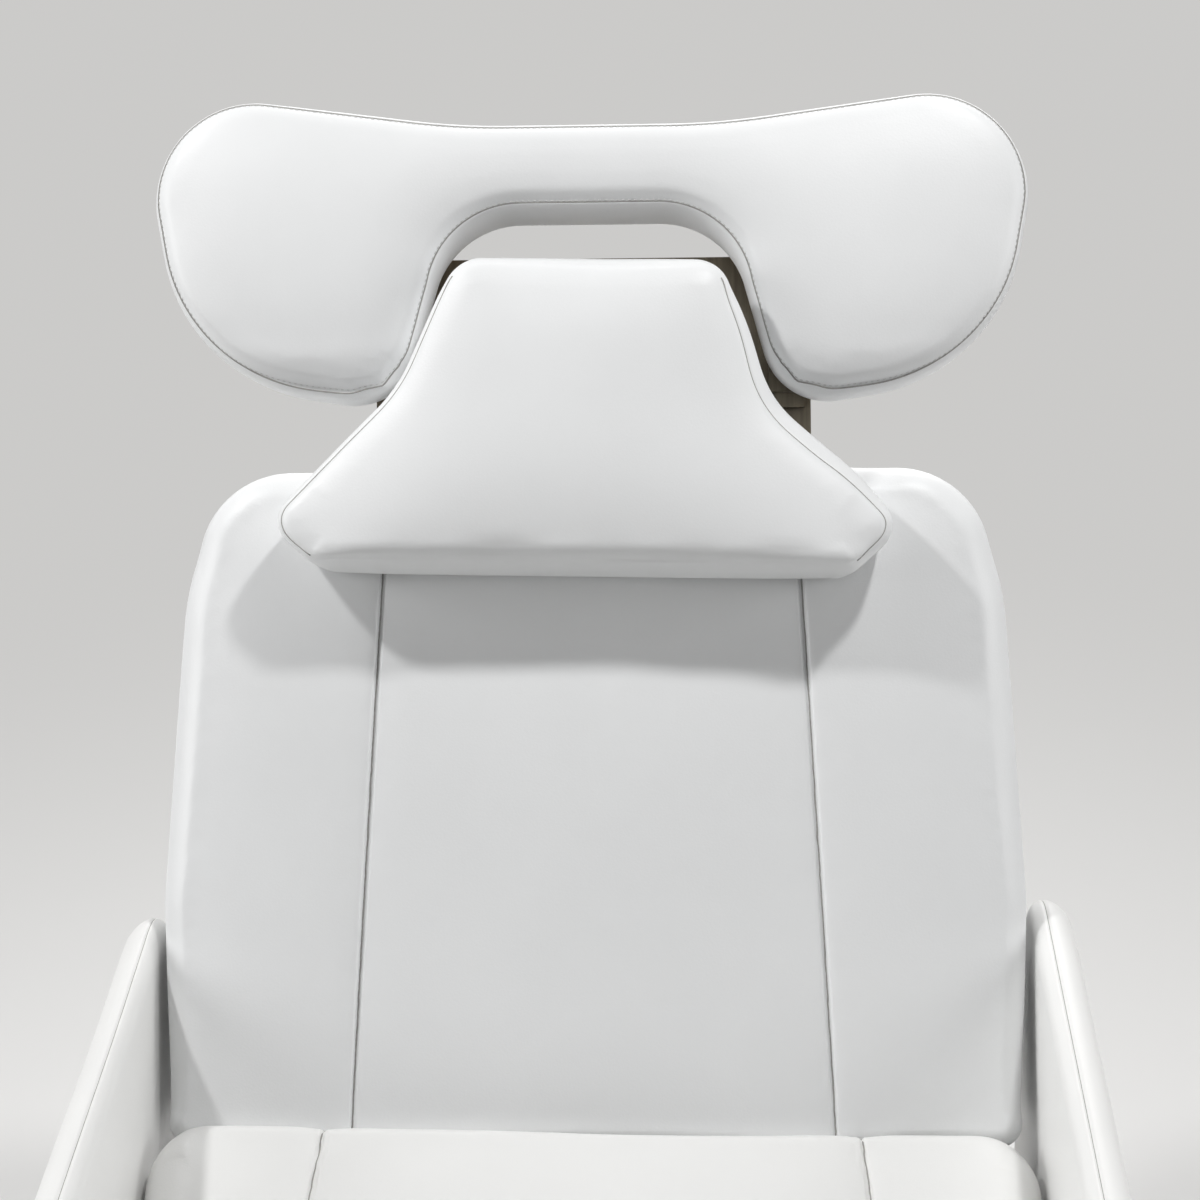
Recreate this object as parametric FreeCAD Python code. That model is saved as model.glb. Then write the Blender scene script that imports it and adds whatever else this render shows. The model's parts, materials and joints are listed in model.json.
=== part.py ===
import FreeCAD, Part
import math
import os

V = FreeCAD.Vector

# Reclining threading chair on a hydraulic pedestal, in millimetres.
# X runs across the chair, the chair faces -Y and Z is up.
# The origin lies on the floor, on the pedestal's axis.

# Angles of the chair at rest, in degrees
recline_angle = 33.0
leg_lift_angle = 25.0
crank_angle = 18.0

# Clearances shared by the whole chair
running_gap = 0.05
side_gap = 0.5
open_pivot_gap = 0.3
overrun = 5.0

# Shape of every pad: share of the thickness from the rear face, share of the roll, scale of the outline
# An arm is the same on both faces, and its shares count from its middle
side_shares = [(0.0, 0.3, 1.0), (0.17, 0.08, 1.0), (0.42, 0.0, 1.0), (0.68, 0.14, 1.0), (0.85, 0.46, 1.0)]
broad_crown_shares = [(0.94, 0.95, 1.0), (0.98, 1.0, 0.87), (1.0, 1.0, 0.55)]
slim_crown_shares = [(0.95, 1.0, 1.0), (1.0, 1.75, 1.0)]
arm_side_shares = [(0.0, 0.0), (0.45, 0.1), (0.75, 0.36), (0.93, 0.75), (1.0, 1.3)]
sharp_radius_share = 0.25

# Cushion widths and the seat
seat_top = 510.0
cushion_half_width = 292.0
seat_front_y = -270.0
seat_rear_y = 225.0
seat_cushion_thick = 75.0
seat_rear_corner = 45.0
seat_front_corner = 60.0
seat_roll = 26.0
seat_seam_rear_margin = 116.0
seat_seam_front_margin = 92.0
seam_width = 1.8
seam_depth = 2.6
seat_board_thick = 12.0
seat_board_inset = 14.0

# Square steel tube of the frames
tube_size = 25.0
tube_wall = 2.0
rail_side_margin = 42.0
frame_rear_margin = 40.0
frame_front_margin = 35.0
middle_tube_y = 100.0

# Back, in its own plane: X across, depth behind the front face, height up the back
back_foot_overlap = 5.0
back_top = 446.9
back_bottom = -3.0
back_top_draw = 36.4
back_top_corner = 64.0
back_shoulder_drop = 85.1
back_shoulder_draw = 12.0
back_shoulder_radius = 160.0
back_waist_drop = 291.9
back_waist_radius = 166.0
back_bottom_draw = 8.0
back_bottom_corner = 12.0
back_cushion_thick = 75.0
back_roll = 26.0
back_seam_top_margin = 156.0
back_seam_bottom_margin = 131.5
back_board_thick = 12.0
back_board_inset = 14.0
back_upright_x = 175.0
back_upright_margin = 21.9
strap_width = 40.0
strap_thick = 5.0
strap_margin = 20.0
cover_inset = 6.0
cover_wall = 3.0
cover_depth = 49.0
cover_open_height = 10.0

# Recline hinge and leg rest linkage
pivot_depth = 60.0
pivot_drop = 32.5
hinge_plate_thick = 8.0
hinge_disc_radius = 26.0
hinge_disc_thick = 9.0
hinge_neck_half = 20.0
hinge_foot_height = 30.0
hinge_foot_drop = 7.0
hinge_strap_width = 24.0
hinge_strap_top = 90.0
hinge_strap_low = 25.5
hinge_strap_high = 20.5
hinge_pin_radius = 10.0
hinge_pin_head_radius = 14.0
pin_head_thick = 5.0
pin_tail_thick = 4.0
crank_length = 78.0
crank_root_radius = 14.0
crank_eye_radius = 12.0
link_bar_radius = 8.0
link_thick = 5.0
link_offset = 1.0
link_pin_radius = 5.0
link_pin_head_radius = 9.0
link_pin_head_thick = 4.0

# Release rod and lever
release_rod_radius = 6.0
release_collar_radius = 9.0
lever_side_margin = 21.0
release_lever_thick = 6.0
release_hub_radius = 16.0
release_rod_tail = 2.0
lever_bar_radius = 9.0
lever_drop = 88.0
lever_drop_back = 6.6
lever_reach = 142.6
lever_reach_drop = 112.0
grip_radius = 13.0
grip_thick = 20.0
grip_length = 55.0
grip_fillet = 5.0

# Leg rest, in its hanging position below its pivot
leg_pivot_reach = 10.0
leg_pivot_drop = 13.0
leg_plane = 115.0
leg_cushion_thick = 60.0
leg_board_thick = 12.0
leg_top = 20.0
leg_bottom = 310.0
leg_side_margin = 52.0
leg_corner = 50.0
leg_roll = 22.0
leg_board_inset = 14.0
leg_upright_start = 30.0
leg_upright_end = 280.0
leg_plate_end = 110.0
leg_pin_radius = 6.0
leg_pin_head_radius = 10.0
leg_disc_radius = 18.0
leg_boss_radius = 14.0
leg_bracket_rear = 33.0
leg_bracket_front = 17.0

# Arms
arm_gap = 4.0
arm_thick = 29.0
arm_crest_rise = 102.0
arm_bottom_drop = 30.0
arm_front_reach = 30.0
arm_rear_top_reach = 141.0
arm_rear_bottom_reach = 120.0
arm_top_front_radius = 70.0
arm_top_rear_radius = 52.0
arm_bottom_radius = 40.0
arm_roll = 11.0
arm_seam_share = 0.42
arm_core_thick = 14.0
arm_core_depth = 7.0
arm_core_inset = 14.0
arm_bracket_width = 40.0
arm_bracket_wall = 3.0
arm_bracket_front_margin = 80.0
arm_bracket_rear_margin = 220.0
arm_bolt_radius = 4.0
arm_bolt_head_radius = 6.5
arm_bolt_head_thick = 5.0
arm_bolt_bite = 12.0

# Head posts and crossbar, in the back's own plane
post_x = 85.0
post_radius = 8.0
post_end_margin = 15.0
sleeve_length = 197.0
sleeve_margin = 9.9
liner_length = 97.0
cover_post_gap = 1.5
crossbar_half = 105.0
crossbar_front = 86.0
crossbar_depth = 27.0
crossbar_rise = 33.1
crossbar_height = 24.0
crossbar_bore_depth = 18.0
crossbar_corner = 6.0
tilt_depth = 72.0
tilt_lug_radius = 12.0
tilt_lug_thick = 8.0
tilt_lug_inner_x = 50.0
tilt_lug_gap = 0.4
tilt_pin_radius = 5.0
tilt_pin_head_radius = 8.0

# Carrier plate, in the back's own plane
carrier_front = 40.0
carrier_thick = 3.0
carrier_half = 150.0
carrier_drop = 25.0
carrier_rise = 117.0
carrier_corner = 6.0
carrier_lug_height = 32.0

# Pillow
pillow_rear = -3.0
pillow_thick = 57.0
pillow_top_rise = 94.0
pillow_top_half = 86.0
pillow_top_corner = 23.9
pillow_waist_rise = 5.8
pillow_waist_half = 121.5
pillow_waist_radius = 115.9
pillow_tip_drop = 80.7
pillow_tip_half = 207.3
pillow_tip_corner = 23.8
pillow_bottom_drop = 115.0
pillow_bottom_half = 167.8
pillow_bottom_corner = 51.9
pillow_roll = 13.0
pillow_board_thick = 10.0
pillow_board_half = 80.0
pillow_board_drop = 10.0
pillow_board_rise = 80.0
pillow_board_corner = 10.0
pillow_spacer_radius = 7.0
pillow_spacer_x = 40.0
pillow_spacer_margin = 18.0
pillow_screw_radius = 2.5
pillow_screw_head_radius = 5.0
pillow_screw_head_thick = 4.0
pillow_screw_bite = 8.0

# Wing, the operator's armrest
wing_front = -30.0
wing_thick = 46.0
wing_bar_top_rise = 189.0
wing_bar_bottom_rise = 123.5
wing_bar_top_half = 65.0
wing_bar_top_radius = 234.0
wing_peak_rise = 218.5
wing_peak_half = 290.0
wing_peak_radius = 66.0
wing_side_rise = 90.5
wing_side_half = 289.0
wing_side_radius = 147.0
wing_lobe_rise = 1.0
wing_lobe_half = 225.0
wing_lobe_radius = 109.0
wing_heel_rise = 4.5
wing_heel_half = 128.0
wing_heel_radius = 30.0
wing_cut_half = 86.0
wing_cut_radius = 49.0
wing_roll = 16.0
wing_board_thick = 8.0
wing_board_inset = 20.0
wing_bar_x = 135.0
wing_bar_width = 20.0
wing_bar_thick = 6.0
wing_bar_low_rise = 10.0
wing_bar_high_rise = 175.0
wing_bar_pad = 6.0
wing_bar_pad_low_rise = 132.0
wing_bar_pad_high_rise = 172.0
wing_guide_wall = 3.8
wing_guide_gap = 0.2
wing_guide_low_rise = 20.0
wing_guide_high_rise = 110.0
wing_screw_radius = 2.5
wing_screw_head_radius = 5.0
wing_screw_head_thick = 3.0
wing_screw_margin = 10.0
wing_screw_bite = 7.0

# Pedestal
floor_pad_lip = 2.0
floor_pad_thick = 4.0
base_plate_radius = 298.0
base_plate_thick = 10.0
base_plate_chamfer = 3.0
dome_margin = 13.0
dome_height = 52.0
dome_wall = 2.0
dome_neck_wide = 30.0
pump_radius = 45.0
pump_wall = 10.0
pump_floor_thick = 10.0
pump_flange_wide = 30.0
pump_flange_thick = 12.0
pump_bolt_offset = 17.0
pump_bolt_radius = 5.0
pump_bolt_head_radius = 8.5
pump_bolt_head_thick = 6.0
pump_bolt_bite = 6.0
bush_length = 24.0
bush_lip_margin = 3.0
bush_lip_thick = 4.0
wiper_wide = 8.0
wiper_thick = 6.0
oil_gap = 10.0
ram_shown = 35.0
piston_floor_gap = 12.0
piston_height = 20.0
piston_seal_width = 6.0
piston_seal_depth = 4.0
ram_step = 5.0
spindle_length = 95.0
spindle_end_gap = 10.0
washer_wide = 12.0
washer_thick = 4.0
hub_gap = 0.2
hub_wall = 18.0
hub_flange_wide = 42.0
hub_flange_thick = 8.0
hub_cone_height = 30.0
swivel_plate_half = 120.0
swivel_plate_thick = 8.0
swivel_bolt_x = 95.0
hub_bolt_margin = 15.0
bolt_radius = 4.0
bolt_head_radius = 6.5
bolt_head_thick = 5.0
bolt_bite = 6.0

# Pedal
pedal_pivot_reach = 20.0
pedal_pivot_rise = 106.0
pedal_length = 210.0
pedal_end_rise = 14.0
pedal_half_thick = 8.0
pedal_hub_radius = 10.0
pedal_tip_radius = 8.0
pedal_pin_radius = 5.0
pedal_pin_half = 24.0
pump_block_half = 22.0
pump_block_depth = 35.0
pump_block_half_height = 22.0
pump_slot_gap = 0.3
pump_slot_depth = 12.0
foot_plate_half = 45.0
foot_plate_length = 50.0
foot_plate_thick = 6.0
foot_pad_skin = 5.0
foot_pad_fillet = 3.0

# Heights and depths that follow from the sizes above
seat_cushion_bottom = seat_top - seat_cushion_thick
seat_board_bottom = seat_cushion_bottom - seat_board_thick
frame_centre_z = seat_board_bottom - tube_size / 2
frame_bottom = seat_board_bottom - tube_size
frame_front_y = seat_front_y + frame_front_margin
frame_rear_y = seat_rear_y - frame_rear_margin
swivel_plate_bottom = frame_bottom - swivel_plate_thick
hub_flange_bottom = swivel_plate_bottom - hub_flange_thick
spindle_top = swivel_plate_bottom - spindle_end_gap
ram_shoulder_z = spindle_top - spindle_length
pump_top = ram_shoulder_z - ram_shown
pump_bore_radius = pump_radius - pump_wall
ram_radius = pump_bore_radius - oil_gap
spindle_radius = ram_radius - ram_step
hub_radius = spindle_radius + hub_wall
hub_flange_radius = hub_radius + hub_flange_wide
hub_bolt_circle = hub_flange_radius - hub_bolt_margin
pump_bolt_circle = pump_radius + pump_bolt_offset
dome_radius = base_plate_radius - dome_margin
dome_neck_radius = pump_radius + dome_neck_wide
rail_centre_x = cushion_half_width - rail_side_margin
rail_inner_x = rail_centre_x - tube_size / 2
rail_outer_x = rail_centre_x + tube_size / 2
arm_inner_x = cushion_half_width + arm_gap
arm_crest_z = seat_top + arm_crest_rise
arm_bottom_z = frame_bottom - arm_bottom_drop
arm_front_y = seat_front_y - arm_front_reach
arm_rear_top_y = seat_rear_y + arm_rear_top_reach
arm_bracket_front_y = seat_front_y + arm_bracket_front_margin
arm_bracket_rear_y = seat_rear_y - arm_bracket_rear_margin
release_lever_x = arm_inner_x - lever_side_margin
leg_pivot_y = frame_front_y - leg_pivot_reach
leg_pivot_z = frame_bottom - leg_pivot_drop
leg_half_width = cushion_half_width - leg_side_margin
back_foot_y = seat_rear_y - back_foot_overlap
back_upright_top = back_top - back_upright_margin
sleeve_top = back_top - sleeve_margin
sleeve_bottom = sleeve_top - sleeve_length
crossbar_bottom = back_top + crossbar_rise
tilt_height = crossbar_bottom + crossbar_height / 2
carrier_bottom = crossbar_bottom - carrier_drop
carrier_top = crossbar_bottom + carrier_rise
pillow_board_bottom = crossbar_bottom - pillow_board_drop
pillow_board_top = crossbar_bottom + pillow_board_rise
wing_bar_pad_low = crossbar_bottom + wing_bar_pad_low_rise
wing_bar_pad_high = crossbar_bottom + wing_bar_pad_high_rise
back_board_rear = back_cushion_thick + back_board_thick
back_tube_centre = back_board_rear + tube_size / 2
back_tube_rear = back_board_rear + tube_size
plate_inner_x = back_upright_x + tube_size / 2
plate_outer_x = plate_inner_x + hinge_plate_thick
bracket_outer_x = plate_inner_x - side_gap - hinge_disc_thick
bracket_inner_x = bracket_outer_x - hinge_plate_thick
link_inner_x = plate_outer_x + link_offset
link_outer_x = link_inner_x + link_thick
wing_rear = wing_front + wing_thick
wing_board_rear = wing_rear + wing_board_thick
pillow_board_rear = pillow_rear + pillow_board_thick
base_plate_top = floor_pad_thick + base_plate_thick
piston_bottom = base_plate_top + pump_floor_thick + piston_floor_gap
pedal_pivot_y = pump_radius + pedal_pivot_reach
pedal_pivot_z = base_plate_top + pedal_pivot_rise
pedal_end_y = pedal_pivot_y + pedal_length
pedal_end_z = pedal_pivot_z + pedal_end_rise


def back_place(depth, height):
    """Y and Z in the chair's frame of a point of the back's own plane."""
    lean = math.radians(recline_angle)
    y = back_foot_y + height * math.sin(lean) + depth * math.cos(lean)
    z = seat_top + height * math.cos(lean) - depth * math.sin(lean)
    return y, z


pivot_y, pivot_z = back_place(pivot_depth, -pivot_drop)
crank_dy = crank_length * math.sin(math.radians(crank_angle))
crank_dz = -crank_length * math.cos(math.radians(crank_angle))


def lean_back(shape):
    """Move a shape from the back's own plane, built upright, to the chair's frame."""
    shape.translate(V(0, back_foot_y, seat_top))
    shape.rotate(V(0, back_foot_y, seat_top), V(1, 0, 0), -recline_angle)
    return shape


def lift_leg(shape):
    """Turn a leg rest shape from its hanging position to its place at rest."""
    shape.rotate(V(0, leg_pivot_y, leg_pivot_z), V(1, 0, 0), -leg_lift_angle)
    return shape


def mirrored(shape):
    return shape.mirror(V(0, 0, 0), V(1, 0, 0))


def box(x0, x1, y0, y1, z0, z1):
    return Part.makeBox(x1 - x0, y1 - y0, z1 - z0, V(x0, y0, z0))


def disc_x(radius, x0, x1, y, z):
    return Part.makeCylinder(radius, x1 - x0, V(x0, y, z), V(1, 0, 0))


def disc_y(radius, y0, y1, x, z):
    return Part.makeCylinder(radius, y1 - y0, V(x, y0, z), V(0, 1, 0))


def disc_z(radius, z0, z1, x=0, y=0):
    return Part.makeCylinder(radius, z1 - z0, V(x, y, z0))


def joined(*shapes):
    whole = shapes[0]
    for shape in shapes[1:]:
        whole = whole.fuse(shape)
    return whole.removeSplitter()


def turned(points):
    """Solid of revolution about the Z axis from radius and height pairs."""
    corners = [V(radius, 0, height) for radius, height in points]
    wire = Part.makePolygon(corners + corners[:1])
    return Part.Face(wire).revolve(V(0, 0, 0), V(0, 0, 1), 360)


def bar_x(x0, x1, start, end):
    """Flat bar between two round ends, each given as Y, Z and radius."""
    (y0, z0, r0), (y1, z1, r1) = start, end
    length = math.hypot(y1 - y0, z1 - z0)
    along = math.atan2(z1 - z0, y1 - y0)
    turn = math.acos((r0 - r1) / length)
    corners = []
    for y, z, r, side in ((y0, z0, r0, 1), (y1, z1, r1, 1), (y1, z1, r1, -1), (y0, z0, r0, -1)):
        angle = along + side * turn
        corners.append(V(x0, y + r * math.cos(angle), z + r * math.sin(angle)))
    web = Part.Face(Part.makePolygon(corners + corners[:1])).extrude(V(x1 - x0, 0, 0))
    return joined(web, disc_x(r0, x0, x1, y0, z0), disc_x(r1, x0, x1, y1, z1))


def square_tube(x0, x1, y0, y1, z0, z1, axis):
    """Box section tube that runs along the named axis."""
    wall = [tube_wall, tube_wall, tube_wall]
    wall["XYZ".index(axis)] = -overrun
    core = box(x0 + wall[0], x1 - wall[0], y0 + wall[1], y1 - wall[1], z0 + wall[2], z1 - wall[2])
    return box(x0, x1, y0, y1, z0, z1).cut(core)


def bolt(radius, head_radius, head_thick, length, foot, direction):
    """Bolt whose head stands on foot, with the shank along direction."""
    shank = Part.makeCylinder(radius, length, foot, direction)
    head_foot = foot - direction * head_thick
    return joined(shank, Part.makeCylinder(head_radius, head_thick, head_foot, direction))


def rounded_outline(points, radii, inset, scale, place):
    """Closed wire round a polygon with arcs for corners, drawn in by inset and scaled about its middle."""
    count = len(points)
    area = sum(points[i - 1][0] * points[i][1] - points[i][0] * points[i - 1][1] for i in range(count))
    side = 1 if area > 0 else -1
    moved = []
    for i in range(count):
        (ax, ay), (bx, by) = points[i - 1], points[i]
        length = math.hypot(bx - ax, by - ay)
        nx, ny = -side * (by - ay) / length, side * (bx - ax) / length
        moved.append((nx, ny, nx * ax + ny * ay + inset))
    corners = []
    for i in range(count):
        (n0x, n0y, c0), (n1x, n1y, c1) = moved[i], moved[(i + 1) % count]
        det = n0x * n1y - n0y * n1x
        corners.append(((c0 * n1y - c1 * n0y) / det, (n0x * c1 - n1x * c0) / det, side * det > 0))
    lows = [min(p[k] for p in points) for k in (0, 1)]
    highs = [max(p[k] for p in points) for k in (0, 1)]
    middle = [(low + high) / 2 for low, high in zip(lows, highs)]
    spots = []
    for i in range(count):
        bx, by, convex = corners[i]
        ax, ay, _ = corners[i - 1]
        cx, cy, _ = corners[(i + 1) % count]
        radius = max(radii[i] - inset, radii[i] * sharp_radius_share) if convex else radii[i] + inset
        la, lc = math.hypot(ax - bx, ay - by), math.hypot(cx - bx, cy - by)
        ux, uy, wx, wy = (ax - bx) / la, (ay - by) / la, (cx - bx) / lc, (cy - by) / lc
        half = math.acos(ux * wx + uy * wy) / 2
        reach = radius / math.tan(half)
        sx, sy = ux + wx, uy + wy
        deep = (radius / math.sin(half) - radius) / math.hypot(sx, sy)
        three = [(bx + ux * reach, by + uy * reach), (bx + sx * deep, by + sy * deep)]
        three.append((bx + wx * reach, by + wy * reach))
        flat = [[middle[k] + (spot[k] - middle[k]) * scale for k in (0, 1)] for spot in three]
        spots.append([place(*spot) for spot in flat])
    edges = []
    for i in range(count):
        edges.append(Part.Arc(*spots[i]).toShape())
        edges.append(Part.makeLine(spots[i][2], spots[(i + 1) % count][0]))
    return Part.Wire(edges)


def plate_of(points, radii, inset, place, start, end):
    """Flat plate with a rounded outline between two depths."""
    wires = [rounded_outline(points, radii, inset, 1, place(depth)) for depth in (start, end)]
    return Part.makeLoft(wires, True, True)


def pad_of(points, radii, roll, crown_shares, place, rear, front, shrink=0):
    """Crowned cushion whose sides draw in towards both faces."""
    wires = []
    top = front - shrink * math.copysign(1, front - rear)
    for depth_share, roll_share, scale in side_shares + crown_shares:
        depth = rear + (top - rear) * depth_share
        wires.append(rounded_outline(points, radii, roll * roll_share + shrink, scale, place(depth)))
    return Part.makeLoft(wires, True, True)


def with_channels(points, radii, roll, place, rear, front, slabs):
    """Cushion with a sewn channel of even depth along each slab."""
    cushion = pad_of(points, radii, roll, broad_crown_shares, place, rear, front)
    core = pad_of(points, radii, roll, broad_crown_shares, place, rear, front, seam_depth)
    for slab in slabs:
        cushion = cushion.cut(slab.cut(core))
    return cushion


def seam_slab(start, end, across, depth):
    """Thin wall from start to end, seam_width thick along across and depth long."""
    half = across * (seam_width / 2)
    wire = Part.makePolygon([start - half, start + half, end + half, end - half, start - half])
    return Part.Face(wire).extrude(depth)


def upright_place(depth):
    return lambda x, height: V(x, depth, height)


def level_place(depth):
    return lambda x, y: V(x, y, depth)


def side_place(depth):
    return lambda y, z: V(depth, y, z)


def both_sides(half_points, half_radii):
    """Symmetric outline from its right half, given from the top down."""
    points = half_points + [(-x, y) for x, y in reversed(half_points)]
    return points, half_radii + half_radii[::-1]


# Outlines

back_half = [
    (cushion_half_width - back_top_draw, back_top),
    (cushion_half_width - back_shoulder_draw, back_top - back_shoulder_drop),
    (cushion_half_width, back_top - back_waist_drop),
    (cushion_half_width - back_bottom_draw, back_bottom),
]
back_half_radii = [back_top_corner, back_shoulder_radius, back_waist_radius, back_bottom_corner]
back_points, back_radii = both_sides(back_half, back_half_radii)

seat_half = [(cushion_half_width, seat_rear_y), (cushion_half_width, seat_front_y)]
seat_points, seat_radii = both_sides(seat_half, [seat_rear_corner, seat_front_corner])

pillow_half = [
    (pillow_top_half, crossbar_bottom + pillow_top_rise),
    (pillow_waist_half, crossbar_bottom + pillow_waist_rise),
    (pillow_tip_half, crossbar_bottom - pillow_tip_drop),
    (pillow_bottom_half, crossbar_bottom - pillow_bottom_drop),
]
pillow_half_radii = [pillow_top_corner, pillow_waist_radius, pillow_tip_corner, pillow_bottom_corner]
pillow_points, pillow_radii = both_sides(pillow_half, pillow_half_radii)

wing_half = [
    (wing_bar_top_half, crossbar_bottom + wing_bar_top_rise),
    (wing_peak_half, crossbar_bottom + wing_peak_rise),
    (wing_side_half, crossbar_bottom + wing_side_rise),
    (wing_lobe_half, crossbar_bottom + wing_lobe_rise),
    (wing_heel_half, crossbar_bottom + wing_heel_rise),
    (wing_cut_half, crossbar_bottom + wing_bar_bottom_rise),
]
wing_half_radii = [
    wing_bar_top_radius,
    wing_peak_radius,
    wing_side_radius,
    wing_lobe_radius,
    wing_heel_radius,
    wing_cut_radius,
]
wing_points, wing_radii = both_sides(wing_half, wing_half_radii)

leg_half = [(leg_half_width, leg_pivot_z - leg_top), (leg_half_width, leg_pivot_z - leg_bottom)]
leg_points, leg_radii = both_sides(leg_half, [leg_corner, leg_corner])

arm_points = [
    (arm_front_y, arm_bottom_z),
    (arm_front_y, arm_crest_z),
    (arm_rear_top_y, arm_crest_z),
    (seat_rear_y + arm_rear_bottom_reach, arm_bottom_z),
]
arm_radii = [arm_bottom_radius, arm_top_front_radius, arm_top_rear_radius, arm_bottom_radius]


# Pedestal

def floor_pad():
    return disc_z(base_plate_radius + floor_pad_lip, 0, floor_pad_thick)


def pump_bolt_places():
    for quarter in range(4):
        angle = math.radians(45 + 90 * quarter)
        yield pump_bolt_circle * math.cos(angle), pump_bolt_circle * math.sin(angle)


def base_plate():
    rim = base_plate_radius - base_plate_chamfer
    shoulder = base_plate_top - base_plate_chamfer
    outline = [(0, floor_pad_thick), (base_plate_radius, floor_pad_thick), (base_plate_radius, shoulder)]
    plate = turned(outline + [(rim, base_plate_top), (0, base_plate_top)])
    for x, y in pump_bolt_places():
        plate = plate.cut(disc_z(pump_bolt_radius, base_plate_top - pump_bolt_bite, base_plate_top, x, y))
    return plate


def base_dome():
    neck = pump_radius + side_gap
    foot = base_plate_top
    top = foot + dome_height
    outer = [(dome_radius, foot), (dome_radius, foot + dome_wall), (dome_neck_radius, top)]
    inner = [(neck, top - dome_wall), (dome_neck_radius, top - dome_wall), (dome_radius - dome_wall, foot)]
    return turned(outer + [(neck, top)] + inner)


def pump_cylinder():
    body = disc_z(pump_radius, base_plate_top, pump_top)
    flange = disc_z(pump_radius + pump_flange_wide, base_plate_top, base_plate_top + pump_flange_thick)
    bore = disc_z(pump_bore_radius, base_plate_top + pump_floor_thick, pump_top + overrun)
    body = joined(body, flange).cut(bore)
    hole = (base_plate_top, base_plate_top + pump_flange_thick)
    for x, y in pump_bolt_places():
        body = body.cut(disc_z(pump_bolt_radius + running_gap, *hole, x, y))
    return body


def pump_bolts():
    head = base_plate_top + pump_flange_thick
    length = pump_flange_thick + pump_bolt_bite
    sizes = (pump_bolt_radius, pump_bolt_head_radius, pump_bolt_head_thick, length)
    return Part.makeCompound([bolt(*sizes, V(x, y, head), V(0, 0, -1)) for x, y in pump_bolt_places()])


def pump_block():
    y0 = pump_radius - overrun
    y1 = pump_radius + pump_block_depth
    z0 = pedal_pivot_z - pump_block_half_height
    z1 = pedal_pivot_z + pump_block_half_height
    block = box(-pump_block_half, pump_block_half, y0, y1, z0, z1)
    slot = pedal_half_thick + pump_slot_gap
    slot_y = pedal_pivot_y - pump_slot_depth
    block = block.cut(box(-slot, slot, slot_y, y1 + overrun, z0 - overrun, z1 + overrun))
    block = block.cut(disc_z(pump_radius, z0 - overrun, z1 + overrun))
    bore = (-pump_block_half, pump_block_half, pedal_pivot_y, pedal_pivot_z)
    return block.cut(disc_x(pedal_pin_radius, *bore))


def pedal_pin():
    return disc_x(pedal_pin_radius, -pedal_pin_half, pedal_pin_half, pedal_pivot_y, pedal_pivot_z)


def guide_bush():
    low = pump_top - bush_length
    high = pump_top + bush_lip_thick
    bore = ram_radius + running_gap
    lip = pump_radius - bush_lip_margin
    outline = [(bore, low), (pump_bore_radius, low), (pump_bore_radius, pump_top)]
    return turned(outline + [(lip, pump_top), (lip, high), (bore, high)])


def wiper_seal():
    low = pump_top + bush_lip_thick
    ring = disc_z(ram_radius + wiper_wide, low, low + wiper_thick)
    return ring.cut(disc_z(ram_radius + running_gap, low, low + wiper_thick))


def ram():
    piston = pump_bore_radius - running_gap
    high = piston_bottom + piston_height
    groove = piston - piston_seal_depth
    seal_low = piston_bottom + (piston_height - piston_seal_width) / 2
    seal_high = seal_low + piston_seal_width
    outline = [(0, piston_bottom), (piston, piston_bottom), (piston, seal_low), (groove, seal_low)]
    outline += [(groove, seal_high), (piston, seal_high), (piston, high), (ram_radius, high)]
    outline += [(ram_radius, ram_shoulder_z), (spindle_radius, ram_shoulder_z)]
    return turned(outline + [(spindle_radius, spindle_top), (0, spindle_top)])


def piston_seal():
    outer = pump_bore_radius - running_gap
    low = piston_bottom + (piston_height - piston_seal_width) / 2
    ring = disc_z(outer, low, low + piston_seal_width)
    return ring.cut(disc_z(outer - piston_seal_depth, low, low + piston_seal_width))


def thrust_washer():
    ring = disc_z(spindle_radius + washer_wide, ram_shoulder_z, ram_shoulder_z + washer_thick)
    return ring.cut(disc_z(spindle_radius + running_gap, ram_shoulder_z, ram_shoulder_z + washer_thick))


# Pedal

def pedal_lever():
    hub = (pedal_pivot_y, pedal_pivot_z, pedal_hub_radius)
    tip = (pedal_end_y, pedal_end_z, pedal_tip_radius)
    arm = bar_x(-pedal_half_thick, pedal_half_thick, hub, tip)
    arm = joined(arm, foot_plate())
    bore = pedal_pin_radius + running_gap
    return arm.cut(disc_x(bore, -pedal_pin_half, pedal_pin_half, pedal_pivot_y, pedal_pivot_z))


def foot_plate():
    y0 = pedal_end_y - foot_plate_length / 2
    z0 = pedal_end_z + pedal_tip_radius - foot_plate_thick / 2
    return box(-foot_plate_half, foot_plate_half, y0, y0 + foot_plate_length, z0, z0 + foot_plate_thick)


def pedal_pad():
    plate = foot_plate().BoundBox
    skin = foot_pad_skin
    ends = (plate.YMin - skin, plate.YMax + skin, plate.ZMin - skin, plate.ZMax + skin)
    pad = box(plate.XMin - skin, plate.XMax + skin, *ends)
    return pad.makeFillet(foot_pad_fillet, pad.Edges).cut(pedal_lever())


# Swivel head and seat frame

def swivel_hub():
    low = ram_shoulder_z + washer_thick + hub_gap
    bore = spindle_radius + running_gap
    waist = hub_flange_bottom - hub_cone_height
    outline = [(bore, low), (hub_radius, low), (hub_radius, waist), (hub_flange_radius, hub_flange_bottom)]
    hub = turned(outline + [(hub_flange_radius, swivel_plate_bottom), (bore, swivel_plate_bottom)])
    for x, y in hub_bolt_places():
        seat = disc_z(bolt_head_radius + side_gap, waist, hub_flange_bottom, x, y)
        hub = hub.cut(joined(seat, disc_z(bolt_radius + running_gap, waist, swivel_plate_bottom, x, y)))
    return hub


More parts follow.
